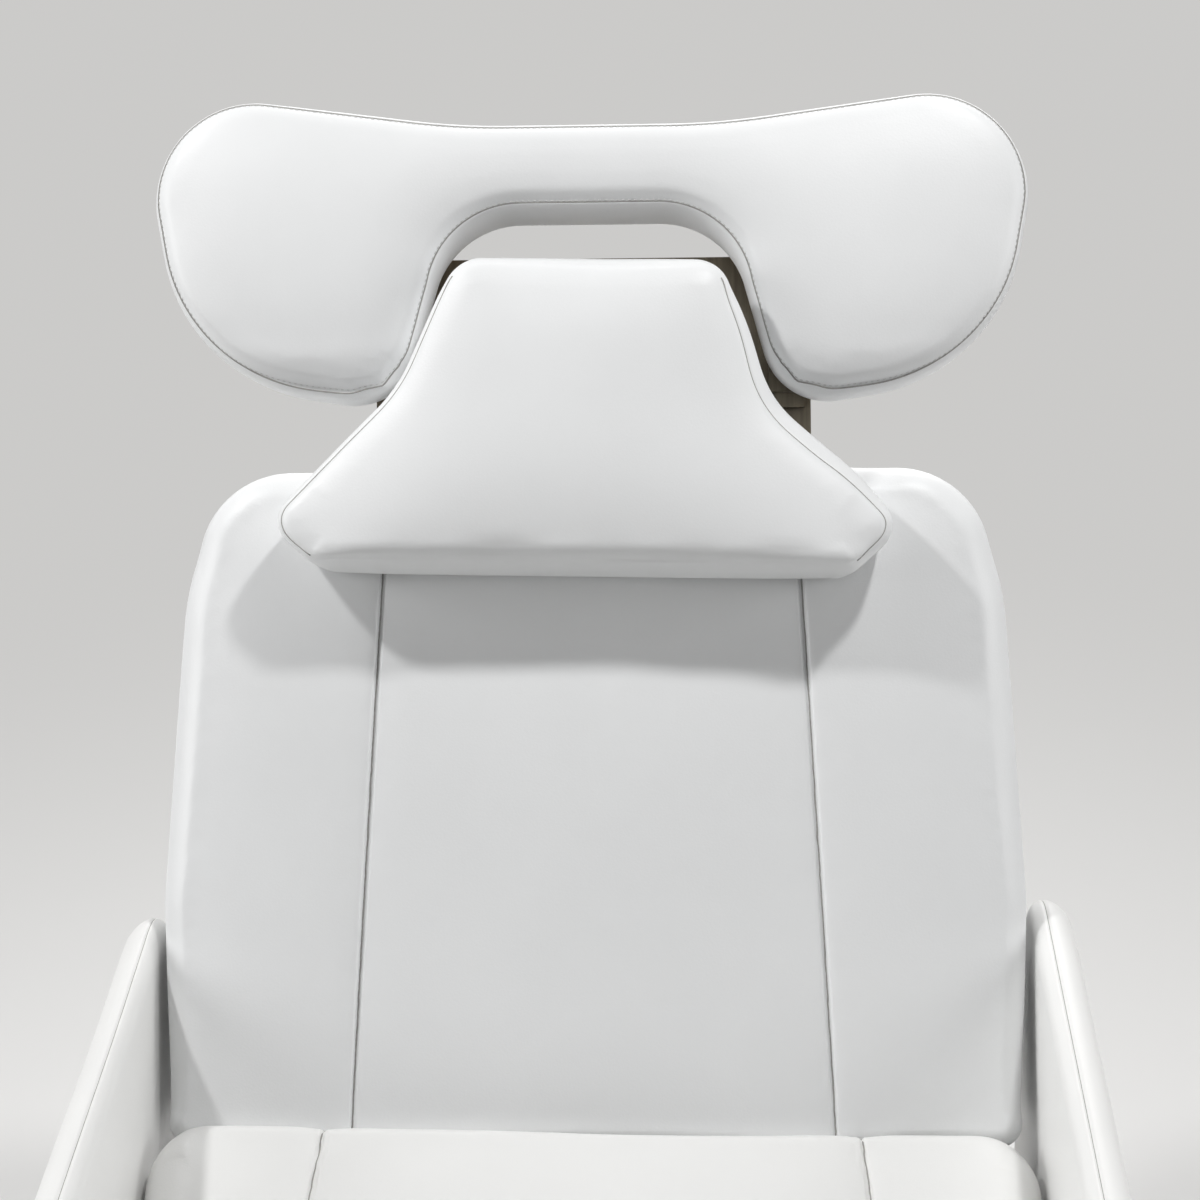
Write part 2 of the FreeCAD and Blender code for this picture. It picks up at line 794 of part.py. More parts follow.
def hub_bolt_places():
    for quarter in range(4):
        angle = math.radians(90 * quarter)
        yield hub_bolt_circle * math.cos(angle), hub_bolt_circle * math.sin(angle)


def frame_bolt_places():
    for x in (-swivel_bolt_x, swivel_bolt_x):
        for y in (-middle_tube_y, middle_tube_y):
            yield x, y


def swivel_plate():
    half = swivel_plate_half
    plate = box(-half, half, -half, half, swivel_plate_bottom, frame_bottom)
    for x, y in frame_bolt_places():
        plate = plate.cut(disc_z(bolt_radius + running_gap, swivel_plate_bottom, frame_bottom, x, y))
    for x, y in hub_bolt_places():
        plate = plate.cut(disc_z(bolt_radius, swivel_plate_bottom, swivel_plate_bottom + bolt_bite, x, y))
    return plate


def swivel_bolts():
    sizes = (bolt_radius, bolt_head_radius, bolt_head_thick)
    up = V(0, 0, 1)
    into_frame = swivel_plate_thick + bolt_bite
    bolts = [bolt(*sizes, into_frame, V(x, y, swivel_plate_bottom), up) for x, y in frame_bolt_places()]
    into_plate = hub_flange_thick + bolt_bite
    bolts += [bolt(*sizes, into_plate, V(x, y, hub_flange_bottom), up) for x, y in hub_bolt_places()]
    return Part.makeCompound(bolts)


def seat_rail():
    return square_tube(
        rail_inner_x, rail_outer_x, frame_front_y, frame_rear_y, frame_bottom, seat_board_bottom, "Y"
    )


def seat_cross(y0):
    return square_tube(
        -rail_inner_x, rail_inner_x, y0, y0 + tube_size, frame_bottom, seat_board_bottom, "X"
    )


def seat_cross_tubes():
    tubes = [seat_cross(frame_front_y), seat_cross(frame_rear_y - tube_size)]
    for y in (-middle_tube_y, middle_tube_y):
        tube = seat_cross(y - tube_size / 2)
        for x in (-swivel_bolt_x, swivel_bolt_x):
            tube = tube.cut(disc_z(bolt_radius, frame_bottom - overrun, frame_centre_z, x, y))
        tubes.append(tube)
    return Part.makeCompound(tubes)


def seat_board():
    return plate_of(
        seat_points, seat_radii, seat_board_inset, level_place, seat_board_bottom, seat_cushion_bottom
    )


def seat_cushion():
    slabs = []
    for side in (-1, 1):
        front_x = side * (cushion_half_width - seat_seam_front_margin)
        rear_x = side * (cushion_half_width - seat_seam_rear_margin)
        front = V(front_x, seat_front_y - overrun, seat_top + overrun)
        rear = V(rear_x, seat_rear_y + overrun, seat_top + overrun)
        slabs.append(seam_slab(front, rear, V(1, 0, 0), V(0, 0, -seat_cushion_thick)))
    ends = (seat_cushion_bottom, seat_top)
    return with_channels(seat_points, seat_radii, seat_roll, level_place, *ends, slabs)


# Arms

def arm_core():
    start = arm_inner_x + arm_core_depth
    return plate_of(arm_points, arm_radii, arm_core_inset, side_place, start, start + arm_core_thick)


def arm_bolt_holes(radius):
    holes = []
    for y, z in arm_bolt_places():
        holes.append(disc_x(radius, rail_outer_x, arm_inner_x + arm_core_depth + arm_bolt_bite, y, z))
    return Part.makeCompound(holes)


def arm_bolt_places():
    for y in (arm_bracket_front_y, arm_bracket_rear_y):
        for side in (-1, 1):
            yield y + side * arm_bracket_width / 4, frame_centre_z


def arm_seam():
    """Thin wall along the crest, down to the arm's middle height."""
    x = arm_inner_x + arm_thick * arm_seam_share
    middle = (arm_crest_z + arm_bottom_z) / 2
    start = V(x, arm_front_y - overrun, arm_crest_z + overrun)
    end = V(x, arm_rear_top_y + overrun, arm_crest_z + overrun)
    return seam_slab(start, end, V(1, 0, 0), V(0, 0, middle - arm_crest_z))


def arm_pad():
    half = arm_inner_x + arm_thick / 2
    halves = []
    for rear, front in ((half, arm_inner_x), (half, arm_inner_x + arm_thick)):
        wires = []
        for share, roll_share in arm_side_shares:
            depth = rear + (front - rear) * share
            inset = arm_roll * roll_share
            wires.append(rounded_outline(arm_points, arm_radii, inset, 1, side_place(depth)))
        halves.append(Part.makeLoft(wires, True, True))
    pad = joined(*halves)
    inner = plate_of(arm_points, arm_radii, seam_depth, side_place, arm_inner_x, arm_inner_x + arm_thick)
    pad = pad.cut(arm_seam().cut(inner))
    return pad.cut(arm_core()).cut(arm_bolt_holes(arm_bolt_radius + running_gap))


def arm_brackets():
    boxes = []
    half = arm_bracket_width / 2
    wall = arm_bracket_wall
    for y in (arm_bracket_front_y, arm_bracket_rear_y):
        outer = box(rail_outer_x, arm_inner_x, y - half, y + half, frame_bottom, seat_board_bottom)
        core = (frame_bottom + wall, seat_board_bottom - wall)
        outer = outer.cut(box(rail_outer_x + wall, arm_inner_x - wall, y - half, y + half, *core))
        boxes.append(outer)
    return Part.makeCompound(boxes).cut(arm_bolt_holes(arm_bolt_radius + running_gap))


def arm_bolts():
    foot = arm_inner_x - arm_bracket_wall
    length = arm_bracket_wall + arm_core_depth + arm_bolt_bite
    sizes = (arm_bolt_radius, arm_bolt_head_radius, arm_bolt_head_thick, length)
    bolts = [bolt(*sizes, V(foot, y, z), V(1, 0, 0)) for y, z in arm_bolt_places()]
    right = Part.makeCompound(bolts)
    return Part.makeCompound(bolts + mirrored(right).Solids)


# Recline hinge

def hinge_bracket():
    x0, x1 = bracket_inner_x, bracket_outer_x
    foot_low = frame_bottom - hinge_foot_drop
    foot_rear = pivot_y + hinge_neck_half
    foot = box(x0, x1, frame_rear_y, foot_rear, foot_low, foot_low + hinge_foot_height)
    neck = box(x0, x1, pivot_y - hinge_neck_half, foot_rear, foot_low, pivot_z)
    plate = joined(foot, neck, disc_x(hinge_disc_radius, x0, x1, pivot_y, pivot_z))
    return plate.cut(disc_x(hinge_pin_radius, x0, x1, pivot_y, pivot_z))


def locking_disc():
    x0, x1 = bracket_outer_x, plate_inner_x - side_gap
    disc = disc_x(hinge_disc_radius, x0, x1, pivot_y, pivot_z)
    return disc.cut(disc_x(hinge_pin_radius, x0, x1, pivot_y, pivot_z))


def hinge_pin():
    head = plate_outer_x + side_gap
    low = bracket_inner_x - pin_tail_thick
    pin = disc_x(hinge_pin_radius, low, head + pin_head_thick, pivot_y, pivot_z)
    cap = disc_x(hinge_pin_head_radius, head, head + pin_head_thick, pivot_y, pivot_z)
    tail = disc_x(hinge_pin_head_radius, low, bracket_inner_x, pivot_y, pivot_z)
    bore = release_rod_radius + running_gap
    return joined(pin, cap, tail).cut(disc_x(bore, 0, head + pin_head_thick, pivot_y, pivot_z))


def release_rod():
    collar = plate_outer_x + side_gap + pin_head_thick + side_gap
    rod_end = release_lever_x + release_lever_thick + release_rod_tail
    rod = disc_x(release_rod_radius, -collar, rod_end, pivot_y, pivot_z)
    stop = disc_x(release_collar_radius, -collar - pin_head_thick, -collar, pivot_y, pivot_z)
    return joined(rod, stop)


def lever_points():
    elbow = (pivot_y - lever_drop_back, pivot_z - lever_drop)
    end = (pivot_y - lever_reach, pivot_z - lever_reach_drop)
    return elbow, end


def release_lever():
    x0, x1 = release_lever_x, release_lever_x + release_lever_thick
    elbow, end = lever_points()
    down = bar_x(x0, x1, (pivot_y, pivot_z, release_hub_radius), (*elbow, lever_bar_radius))
    along = bar_x(x0, x1, (*elbow, lever_bar_radius), (*end, lever_bar_radius))
    return joined(down, along).cut(disc_x(release_rod_radius, x0, x1, pivot_y, pivot_z))


def lever_grip():
    elbow, end = lever_points()
    length = math.hypot(end[0] - elbow[0], end[1] - elbow[1])
    share = grip_length / length
    start = (end[0] + (elbow[0] - end[0]) * share, end[1] + (elbow[1] - end[1]) * share)
    middle = release_lever_x + release_lever_thick / 2
    x0, x1 = middle - grip_thick / 2, middle + grip_thick / 2
    grip = bar_x(x0, x1, (*start, grip_radius), (*end, grip_radius))
    faces = [e for e in grip.Edges if abs(e.BoundBox.XMax - e.BoundBox.XMin) < side_gap]
    return grip.makeFillet(grip_fillet, faces).cut(release_lever())


# Back

def back_board():
    points = (back_points, back_radii, back_board_inset, upright_place)
    return lean_back(plate_of(*points, back_cushion_thick, back_board_rear))


def back_cushion():
    slabs = []
    for side in (-1, 1):
        low_x = side * (cushion_half_width - back_seam_bottom_margin)
        high_x = side * (cushion_half_width - back_seam_top_margin)
        low = V(low_x, -overrun, back_bottom - overrun)
        high = V(high_x, -overrun, back_top + overrun)
        slabs.append(seam_slab(low, high, V(1, 0, 0), V(0, back_cushion_thick, 0)))
    ends = (back_cushion_thick, 0)
    return lean_back(with_channels(back_points, back_radii, back_roll, upright_place, *ends, slabs))


def back_upright():
    half = tube_size / 2
    sides = (back_upright_x - half, back_upright_x + half)
    tube = square_tube(*sides, back_board_rear, back_tube_rear, 0, back_upright_top, "Z")
    x0, x1 = plate_inner_x, plate_outer_x
    low, high = -pivot_drop - hinge_strap_low, -pivot_drop + hinge_strap_high
    front = back_tube_rear - hinge_strap_width
    strap = box(x0, x1, front, back_tube_rear, low, hinge_strap_top)
    foot = box(x0, x1, pivot_depth, back_tube_rear, low, high)
    disc = disc_x(hinge_disc_radius, x0, x1, pivot_depth, -pivot_drop)
    upright = lean_back(joined(tube, strap, foot, disc))
    root = (pivot_y, pivot_z, crank_root_radius)
    eye = (pivot_y + crank_dy, pivot_z + crank_dz, crank_eye_radius)
    upright = joined(upright, bar_x(x0, x1, root, eye))
    upright = upright.cut(disc_x(hinge_pin_radius + running_gap, x0, x1, pivot_y, pivot_z))
    return upright.cut(disc_x(link_pin_radius, x0, x1, eye[0], eye[1]))


def back_straps():
    half = plate_inner_x
    depths = (back_tube_rear, back_tube_rear + strap_thick)
    straps = []
    for low in (strap_margin, back_upright_top - strap_margin - strap_width):
        straps.append(box(-half, half, *depths, low, low + strap_width))
    return lean_back(Part.makeCompound(straps))


def back_cover():
    depth = back_cushion_thick + cover_depth
    points = (back_points, back_radii)
    shell = plate_of(*points, cover_inset, upright_place, back_cushion_thick, depth)
    room = plate_of(
        *points, cover_inset + cover_wall, upright_place, back_cushion_thick - overrun, depth - cover_wall
    )
    shell = shell.cut(room)
    wide = cushion_half_width + overrun
    shell = shell.cut(box(-wide, wide, 0, depth + overrun, back_bottom - overrun, cover_open_height))
    for side in (-1, 1):
        hole = post_radius + cover_post_gap
        shell = shell.cut(disc_z(hole, back_upright_top, back_top, side * post_x, back_tube_centre))
    return lean_back(shell)


def head_sleeve():
    half = tube_size / 2
    sides = (post_x - half, post_x + half)
    return lean_back(square_tube(*sides, back_board_rear, back_tube_rear, sleeve_bottom, sleeve_top, "Z"))


def sleeve_liner():
    half = tube_size / 2 - tube_wall
    ends = (sleeve_top - liner_length, sleeve_top)
    block = box(post_x - half, post_x + half, back_tube_centre - half, back_tube_centre + half, *ends)
    bore = disc_z(post_radius + running_gap, *ends, post_x, back_tube_centre)
    return lean_back(block.cut(bore))


# Head posts and crossbar

def head_post():
    top = crossbar_bottom + crossbar_bore_depth
    return lean_back(disc_z(post_radius, sleeve_bottom + post_end_margin, top, post_x, back_tube_centre))


def head_crossbar():
    rear = crossbar_front + crossbar_depth
    top = crossbar_bottom + crossbar_height
    bar = box(-crossbar_half, crossbar_half, crossbar_front, rear, crossbar_bottom, top)
    uprights = [e for e in bar.Edges if abs(e.BoundBox.ZMax - e.BoundBox.ZMin) > crossbar_height / 2]
    bar = bar.makeFillet(crossbar_corner, uprights)
    for side in (-1, 1):
        x0 = tilt_lug_inner_x if side > 0 else -tilt_lug_inner_x - tilt_lug_thick
        x1 = x0 + tilt_lug_thick
        root = (crossbar_front + tilt_lug_radius, tilt_height, tilt_lug_radius)
        lug = bar_x(x0, x1, root, (tilt_depth, tilt_height, tilt_lug_radius))
        bar = joined(bar, lug).cut(disc_x(tilt_pin_radius, x0, x1, tilt_depth, tilt_height))
        bore = (crossbar_bottom, crossbar_bottom + crossbar_bore_depth, side * post_x, back_tube_centre)
        bar = bar.cut(disc_z(post_radius, *bore))
    return lean_back(bar)


def tilt_pin():
    end = tilt_lug_inner_x + tilt_lug_thick * 2 + tilt_lug_gap + side_gap
    pin = disc_x(tilt_pin_radius, -end, end, tilt_depth, tilt_height)
    head = disc_x(tilt_pin_head_radius, end, end + pin_head_thick, tilt_depth, tilt_height)
    return lean_back(joined(pin, head, mirrored(head)))


def carrier_plate():
    low, high = carrier_bottom, carrier_top
    points, radii = both_sides([(carrier_half, high), (carrier_half, low)], [carrier_corner] * 2)
    rear = carrier_front + carrier_thick
    plate = plate_of(points, radii, 0, upright_place, carrier_front, rear)
    half = carrier_lug_height / 2
    for side in (-1, 1):
        inner = tilt_lug_inner_x + tilt_lug_thick + tilt_lug_gap
        x0 = inner if side > 0 else -inner - tilt_lug_thick
        x1 = x0 + tilt_lug_thick
        web = box(x0, x1, carrier_front, rear, tilt_height - half, tilt_height + half)
        lug = bar_x(x0, x1, (rear, tilt_height, half), (tilt_depth, tilt_height, tilt_lug_radius))
        lug = lug.cut(box(x0, x1, 0, carrier_front, low, high))
        plate = joined(plate, web, lug)
        plate = plate.cut(disc_x(tilt_pin_radius + running_gap, x0, x1, tilt_depth, tilt_height))
    for x, height in pillow_screw_places():
        plate = plate.cut(disc_y(pillow_screw_radius + running_gap, carrier_front, rear, x, height))
    return lean_back(plate)


# Pillow

def pillow_screw_places():
    for side in (-1, 1):
        for height in (pillow_board_bottom + pillow_spacer_margin, pillow_board_top - pillow_spacer_margin):
            yield side * pillow_spacer_x, height


def pillow_board():
    half = [(pillow_board_half, pillow_board_top), (pillow_board_half, pillow_board_bottom)]
    points, radii = both_sides(half, [pillow_board_corner] * 2)
    board = plate_of(points, radii, 0, upright_place, pillow_rear, pillow_board_rear)
    for x, height in pillow_screw_places():
        start = pillow_board_rear - pillow_screw_bite
        board = board.cut(disc_y(pillow_screw_radius, start, pillow_board_rear, x, height))
    return lean_back(board)


def pillow_spacers():
    tubes = []
    for x, height in pillow_screw_places():
        tube = disc_y(pillow_spacer_radius, pillow_board_rear, carrier_front, x, height)
        bore = pillow_screw_radius + running_gap
        tubes.append(tube.cut(disc_y(bore, pillow_board_rear, carrier_front, x, height)))
    return lean_back(Part.makeCompound(tubes))


def pillow_screws():
    rear = carrier_front + carrier_thick
    length = rear - pillow_board_rear + pillow_screw_bite
    sizes = (pillow_screw_radius, pillow_screw_head_radius, pillow_screw_head_thick, length)
    screws = [bolt(*sizes, V(x, rear, height), V(0, -1, 0)) for x, height in pillow_screw_places()]
    return lean_back(Part.makeCompound(screws))


def pillow_cushion():
    ends = (pillow_rear, pillow_rear - pillow_thick)
    pad = pad_of(pillow_points, pillow_radii, pillow_roll, broad_crown_shares, upright_place, *ends)
    return lean_back(pad)


# Wing

def wing_pad():
    ends = (wing_rear, wing_front)
    return lean_back(pad_of(wing_points, wing_radii, wing_roll, slim_crown_shares, upright_place, *ends))


def wing_screw_places():
    for side in (-1, 1):
        for height in (wing_bar_pad_low + wing_screw_margin, wing_bar_pad_high - wing_screw_margin):
            yield side * wing_bar_x, height


def wing_board():
    board = plate_of(wing_points, wing_radii, wing_board_inset, upright_place, wing_rear, wing_board_rear)
    start = wing_board_rear - wing_screw_bite
    for x, height in wing_screw_places():
        board = board.cut(disc_y(wing_screw_radius, start, wing_board_rear, x, height))
    return lean_back(board)


def wing_slide_bar():
    x0, x1 = wing_bar_x - wing_bar_width / 2, wing_bar_x + wing_bar_width / 2
    front = wing_board_rear + wing_bar_pad
    rear = front + wing_bar_thick
    ends = (crossbar_bottom + wing_bar_low_rise, crossbar_bottom + wing_bar_high_rise)
    bar = box(x0, x1, front, rear, *ends)
    pad = box(x0, x1, wing_board_rear, front, wing_bar_pad_low, wing_bar_pad_high)
    bar = joined(bar, pad)
    for x, height in wing_screw_places():
        bar = bar.cut(disc_y(wing_screw_radius + running_gap, wing_board_rear, rear, x, height))
    return lean_back(bar)


def wing_screws():
    rear = wing_board_rear + wing_bar_pad + wing_bar_thick
    length = wing_bar_pad + wing_bar_thick + wing_screw_bite
    sizes = (wing_screw_radius, wing_screw_head_radius, wing_screw_head_thick, length)
    screws = [bolt(*sizes, V(x, rear, height), V(0, -1, 0)) for x, height in wing_screw_places()]
    return lean_back(Part.makeCompound(screws))


def wing_guide():
    half = wing_bar_width / 2 + wing_guide_gap
    front = wing_board_rear + wing_bar_pad - wing_guide_gap
    rear = front + wing_bar_thick + 2 * wing_guide_gap
    x0, x1 = wing_bar_x - half - wing_guide_wall, wing_bar_x + half + wing_guide_wall
    ends = (crossbar_bottom + wing_guide_low_rise, crossbar_bottom + wing_guide_high_rise)
    guide = box(x0, x1, front - wing_guide_wall, carrier_front, *ends)
    return lean_back(guide.cut(box(wing_bar_x - half, wing_bar_x + half, front, rear, *ends)))


# Leg rest and its link

def leg_bracket():
    x0, x1 = bracket_inner_x, bracket_outer_x
    y0, y1 = leg_pivot_y - leg_bracket_front, leg_pivot_y + leg_bracket_rear
    foot = box(x0, x1, y0, y1, leg_pivot_z, frame_bottom)
    plate = joined(foot, disc_x(leg_disc_radius, x0, x1, leg_pivot_y, leg_pivot_z))
    plate = plate.cut(box(x0, x1, y0 - overrun, y1 + overrun, frame_bottom, seat_board_bottom))
    boss = disc_x(leg_boss_radius, x1, plate_inner_x - side_gap, leg_pivot_y, leg_pivot_z)
    boss = boss.cut(box(x1, plate_inner_x, y0 - overrun, y1 + overrun, frame_bottom, seat_board_bottom))
    bracket = joined(plate, boss)
    return bracket.cut(disc_x(leg_pin_radius, x0, plate_inner_x, leg_pivot_y, leg_pivot_z))


def leg_pins():
    low = bracket_inner_x - pin_tail_thick
    high = plate_outer_x + side_gap + pin_head_thick
    pin = disc_x(leg_pin_radius, low, high, leg_pivot_y, leg_pivot_z)
    ends = ((low, bracket_inner_x), (high - pin_head_thick, high))
    for x0, x1 in ends:
        pin = joined(pin, disc_x(leg_pin_head_radius, x0, x1, leg_pivot_y, leg_pivot_z))
    return Part.makeCompound([pin, mirrored(pin)])


def leg_upright():
    half = tube_size / 2
    rear = leg_pivot_y - leg_plane + leg_cushion_thick + leg_board_thick
    low, high = leg_pivot_z - leg_upright_end, leg_pivot_z - leg_upright_start
    sides = (back_upright_x - half, back_upright_x + half)
    tube = square_tube(*sides, rear, rear + tube_size, low, high, "Z")
    x0, x1 = plate_inner_x, plate_outer_x
    plate_low = leg_pivot_z - leg_plate_end
    strap = box(x0, x1, rear, rear + tube_size, plate_low, high)
    web = Part.makePolygon(
        [
            V(x0, leg_pivot_y + leg_boss_radius, leg_pivot_z),
            V(x0, leg_pivot_y - leg_boss_radius, leg_pivot_z),
            V(x0, rear, high),
            V(x0, rear, plate_low),
            V(x0, rear + tube_size, plate_low),
            V(x0, leg_pivot_y + leg_boss_radius, leg_pivot_z),
        ]
    )
    web = Part.Face(web).extrude(V(x1 - x0, 0, 0))
    disc = disc_x(leg_boss_radius, x0, x1, leg_pivot_y, leg_pivot_z)
    upright = lift_leg(joined(tube, strap, web, disc))
    root = (leg_pivot_y, leg_pivot_z, crank_root_radius)
    eye = (leg_pivot_y + crank_dy, leg_pivot_z + crank_dz, crank_eye_radius)
    upright = joined(upright, bar_x(x0, x1, root, eye))
    upright = upright.cut(disc_x(leg_pin_radius + running_gap, x0, x1, leg_pivot_y, leg_pivot_z))
    return upright.cut(disc_x(link_pin_radius, x0, x1, eye[0], eye[1]))


def leg_board():
    front = leg_pivot_y - leg_plane + leg_cushion_thick
    rear = front + leg_board_thick
    return lift_leg(plate_of(leg_points, leg_radii, leg_board_inset, upright_place, front, rear))


def leg_cushion():
    front = leg_pivot_y - leg_plane
    ends = (front + leg_cushion_thick, front)
    return lift_leg(pad_of(leg_points, leg_radii, leg_roll, broad_crown_shares, upright_place, *ends))


def link_rod():
    x0, x1 = link_inner_x, link_outer_x
    rear = (pivot_y + crank_dy, pivot_z + crank_dz)
    front = (leg_pivot_y + crank_dy, leg_pivot_z + crank_dz)
    rod = bar_x(x0, x1, (*rear, link_bar_radius), (*front, link_bar_radius))
    for eye, gap in ((rear, running_gap), (front, open_pivot_gap)):
        rod = joined(rod, disc_x(crank_eye_radius, x0, x1, *eye))
        rod = rod.cut(disc_x(link_pin_radius + gap, x0, x1, *eye))
    return rod


def link_pins(y, z):
    head = link_outer_x + side_gap
    pin = disc_x(link_pin_radius, plate_inner_x, head + link_pin_head_thick, y, z)
    pin = joined(pin, disc_x(link_pin_head_radius, head, head + link_pin_head_thick, y, z))
    return Part.makeCompound([pin, mirrored(pin)])


# Every node by its name

nodes = {
    "floor_pad": floor_pad(),
    "base_plate": base_plate(),
    "base_dome": base_dome(),
    "pump_cylinder": pump_cylinder(),
    "pump_bolts": pump_bolts(),
    "pump_block": pump_block(),
    "guide_bush": guide_bush(),
    "wiper_seal": wiper_seal(),
    "pedal_pin": pedal_pin(),
    "pedal_lever": pedal_lever(),
    "pedal_pad": pedal_pad(),
    "ram": ram(),
    "piston_seal": piston_seal(),
    "thrust_washer": thrust_washer(),
    "swivel_hub": swivel_hub(),
    "swivel_plate": swivel_plate(),
    "swivel_bolts": swivel_bolts(),
    "seat_cross_tubes": seat_cross_tubes(),
    "seat_board": seat_board(),
    "seat_cushion": seat_cushion(),
    "arm_bolts": arm_bolts(),
    "release_rod": release_rod(),
    "release_lever": release_lever(),
    "lever_grip": lever_grip(),
    "back_board": back_board(),
    "back_cushion": back_cushion(),
    "back_straps": back_straps(),
    "back_cover": back_cover(),
    "rear_link_pins": link_pins(pivot_y + crank_dy, pivot_z + crank_dz),
    "front_link_pins": link_pins(leg_pivot_y + crank_dy, leg_pivot_z + crank_dz),
    "leg_pins": leg_pins(),
    "leg_board": leg_board(),
    "leg_cushion": leg_cushion(),
    "head_crossbar": head_crossbar(),
    "tilt_pin": tilt_pin(),
    "carrier_plate": carrier_plate(),
    "pillow_board": pillow_board(),
    "pillow_spacers": pillow_spacers(),
    "pillow_screws": pillow_screws(),
    "pillow_cushion": pillow_cushion(),
    "wing_pad": wing_pad(),
    "wing_board": wing_board(),
    "wing_screws": wing_screws(),
}
mirrored_pairs = {
    "seat_rails": seat_rail(),
    "arm_cores": arm_core().cut(arm_bolt_holes(arm_bolt_radius)),
    "arm_brackets": arm_brackets(),
    "hinge_brackets": hinge_bracket(),
    "locking_discs": locking_disc(),
    "hinge_pins": hinge_pin(),
    "back_uprights": back_upright(),
    "leg_uprights": leg_upright(),
    "leg_brackets": leg_bracket(),
    "link_rods": link_rod(),
    "head_sleeves": head_sleeve(),
    "sleeve_liners": sleeve_liner(),
    "head_posts": head_post(),
    "wing_slide_bars": wing_slide_bar(),
    "wing_guides": wing_guide(),
}

nodes["arm_pad_right"] = arm_pad()
nodes["arm_pad_left"] = mirrored(nodes["arm_pad_right"])
for name, shape in mirrored_pairs.items():
    nodes[name] = Part.makeCompound(shape.Solids + mirrored(shape).Solids)

os.makedirs("parts", exist_ok=True)
for name, shape in sorted(nodes.items()):
    shape.exportStep("parts/" + name + ".step")
    print(name, len(shape.Solids), shape.isValid(), round(shape.Volume))
print("nodes:", len(nodes))
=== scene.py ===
import json
import math

import bmesh
import bpy
import numpy as np
from mathutils import Matrix, Vector
from mathutils.geometry import delaunay_2d_cdt


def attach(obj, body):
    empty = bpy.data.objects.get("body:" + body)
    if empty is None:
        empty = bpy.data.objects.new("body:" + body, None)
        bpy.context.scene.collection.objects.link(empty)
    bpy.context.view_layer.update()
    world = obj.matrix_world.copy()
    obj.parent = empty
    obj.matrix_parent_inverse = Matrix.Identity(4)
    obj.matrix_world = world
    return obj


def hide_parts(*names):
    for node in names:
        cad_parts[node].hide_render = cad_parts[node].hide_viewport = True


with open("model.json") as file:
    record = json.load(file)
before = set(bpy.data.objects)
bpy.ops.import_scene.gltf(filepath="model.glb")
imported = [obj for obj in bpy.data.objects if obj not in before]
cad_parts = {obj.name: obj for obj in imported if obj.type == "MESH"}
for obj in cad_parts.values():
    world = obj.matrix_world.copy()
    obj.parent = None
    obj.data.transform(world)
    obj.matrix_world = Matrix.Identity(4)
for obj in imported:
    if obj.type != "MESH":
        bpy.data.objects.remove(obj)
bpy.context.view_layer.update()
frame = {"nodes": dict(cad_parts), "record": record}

MM = 0.001

# The chair's frame, in millimetres and degrees, as in the part's source
RECLINE = 33.0
LEG_LIFT = 25.0
BACK_FOOT_Y = 220.0
SEAT_TOP = 510.0
LEG_PIVOT = (-245.0, 385.0)
LEG_FRONT = 115.0
ARM_INNER = 293.5

# Ring numbers of the filled faces of a cushion
FRONT_FACE = 99
REAR_FACE = -1

# Points across a groove, in millimetres from its middle, and their spacing along it
GROOVE_OFFSETS = np.array([-8, -5.5, -3.8, -2.6, -1.7, -0.9, 0, 0.9, 1.7, 2.6, 3.8, 5.5, 8.0])
GROOVE_SPACING = 5.0

# Spacing of points on a rounded corner, and reach of the measured tangents, in millimetres
ARC_SPACING = 0.4
TANGENT_REACH = 0.6
# Points that fill a face: their rows' distance as a share of that within a row, the least distance
# from the ring in millimetres, and the steps in which their heights settle
ROW_SHARE = 0.87
RING_CLEARANCE = 2.0
RELAX_STEPS = 260


def unit(x):
    """x kept between 0 and 1."""
    return np.clip(x, 0, 1)


def smooth_step(x):
    """Rises from 0 to 1 as x does, level at both ends."""
    x = unit(x)
    return x * x * (3 - 2 * x)


def unit_vector(v):
    return v / np.linalg.norm(v)


def back_place(x, height, depth):
    """Point of the back's own plane, depth behind its front face, in metres."""
    lean = math.radians(RECLINE)
    y = BACK_FOOT_Y + height * math.sin(lean) + depth * math.cos(lean)
    z = SEAT_TOP + height * math.cos(lean) - depth * math.sin(lean)
    return x * MM, y * MM, z * MM


def seat_place(x, y, depth):
    return x * MM, y * MM, (SEAT_TOP - depth) * MM


def leg_place(x, z, depth):
    """Point of the leg rest's plane, depth behind its front face."""
    turn = math.radians(LEG_LIFT)
    y = depth - LEG_FRONT
    z = z - LEG_PIVOT[1]
    return (
        x * MM,
        (LEG_PIVOT[0] + y * math.cos(turn) + z * math.sin(turn)) * MM,
        (LEG_PIVOT[1] - y * math.sin(turn) + z * math.cos(turn)) * MM,
    )


def right_arm_place(y, z, depth):
    return (ARM_INNER + depth) * MM, y * MM, z * MM


def left_arm_place(y, z, depth):
    """The left arm is thinner towards its rear, as in the photograph, and more so along its top."""
    thin = smooth_step((y - 10.0) / 220.0) * (0.08 + 0.14 * unit((z - 600.0) / 10.0))
    return -(ARM_INNER + depth * (1 - thin)) * MM, y * MM, z * MM


# Outlines

def symmetric(half_points, half_radii):
    points = half_points + [(-x, y) for x, y in reversed(half_points)]
    return points, half_radii + half_radii[::-1]


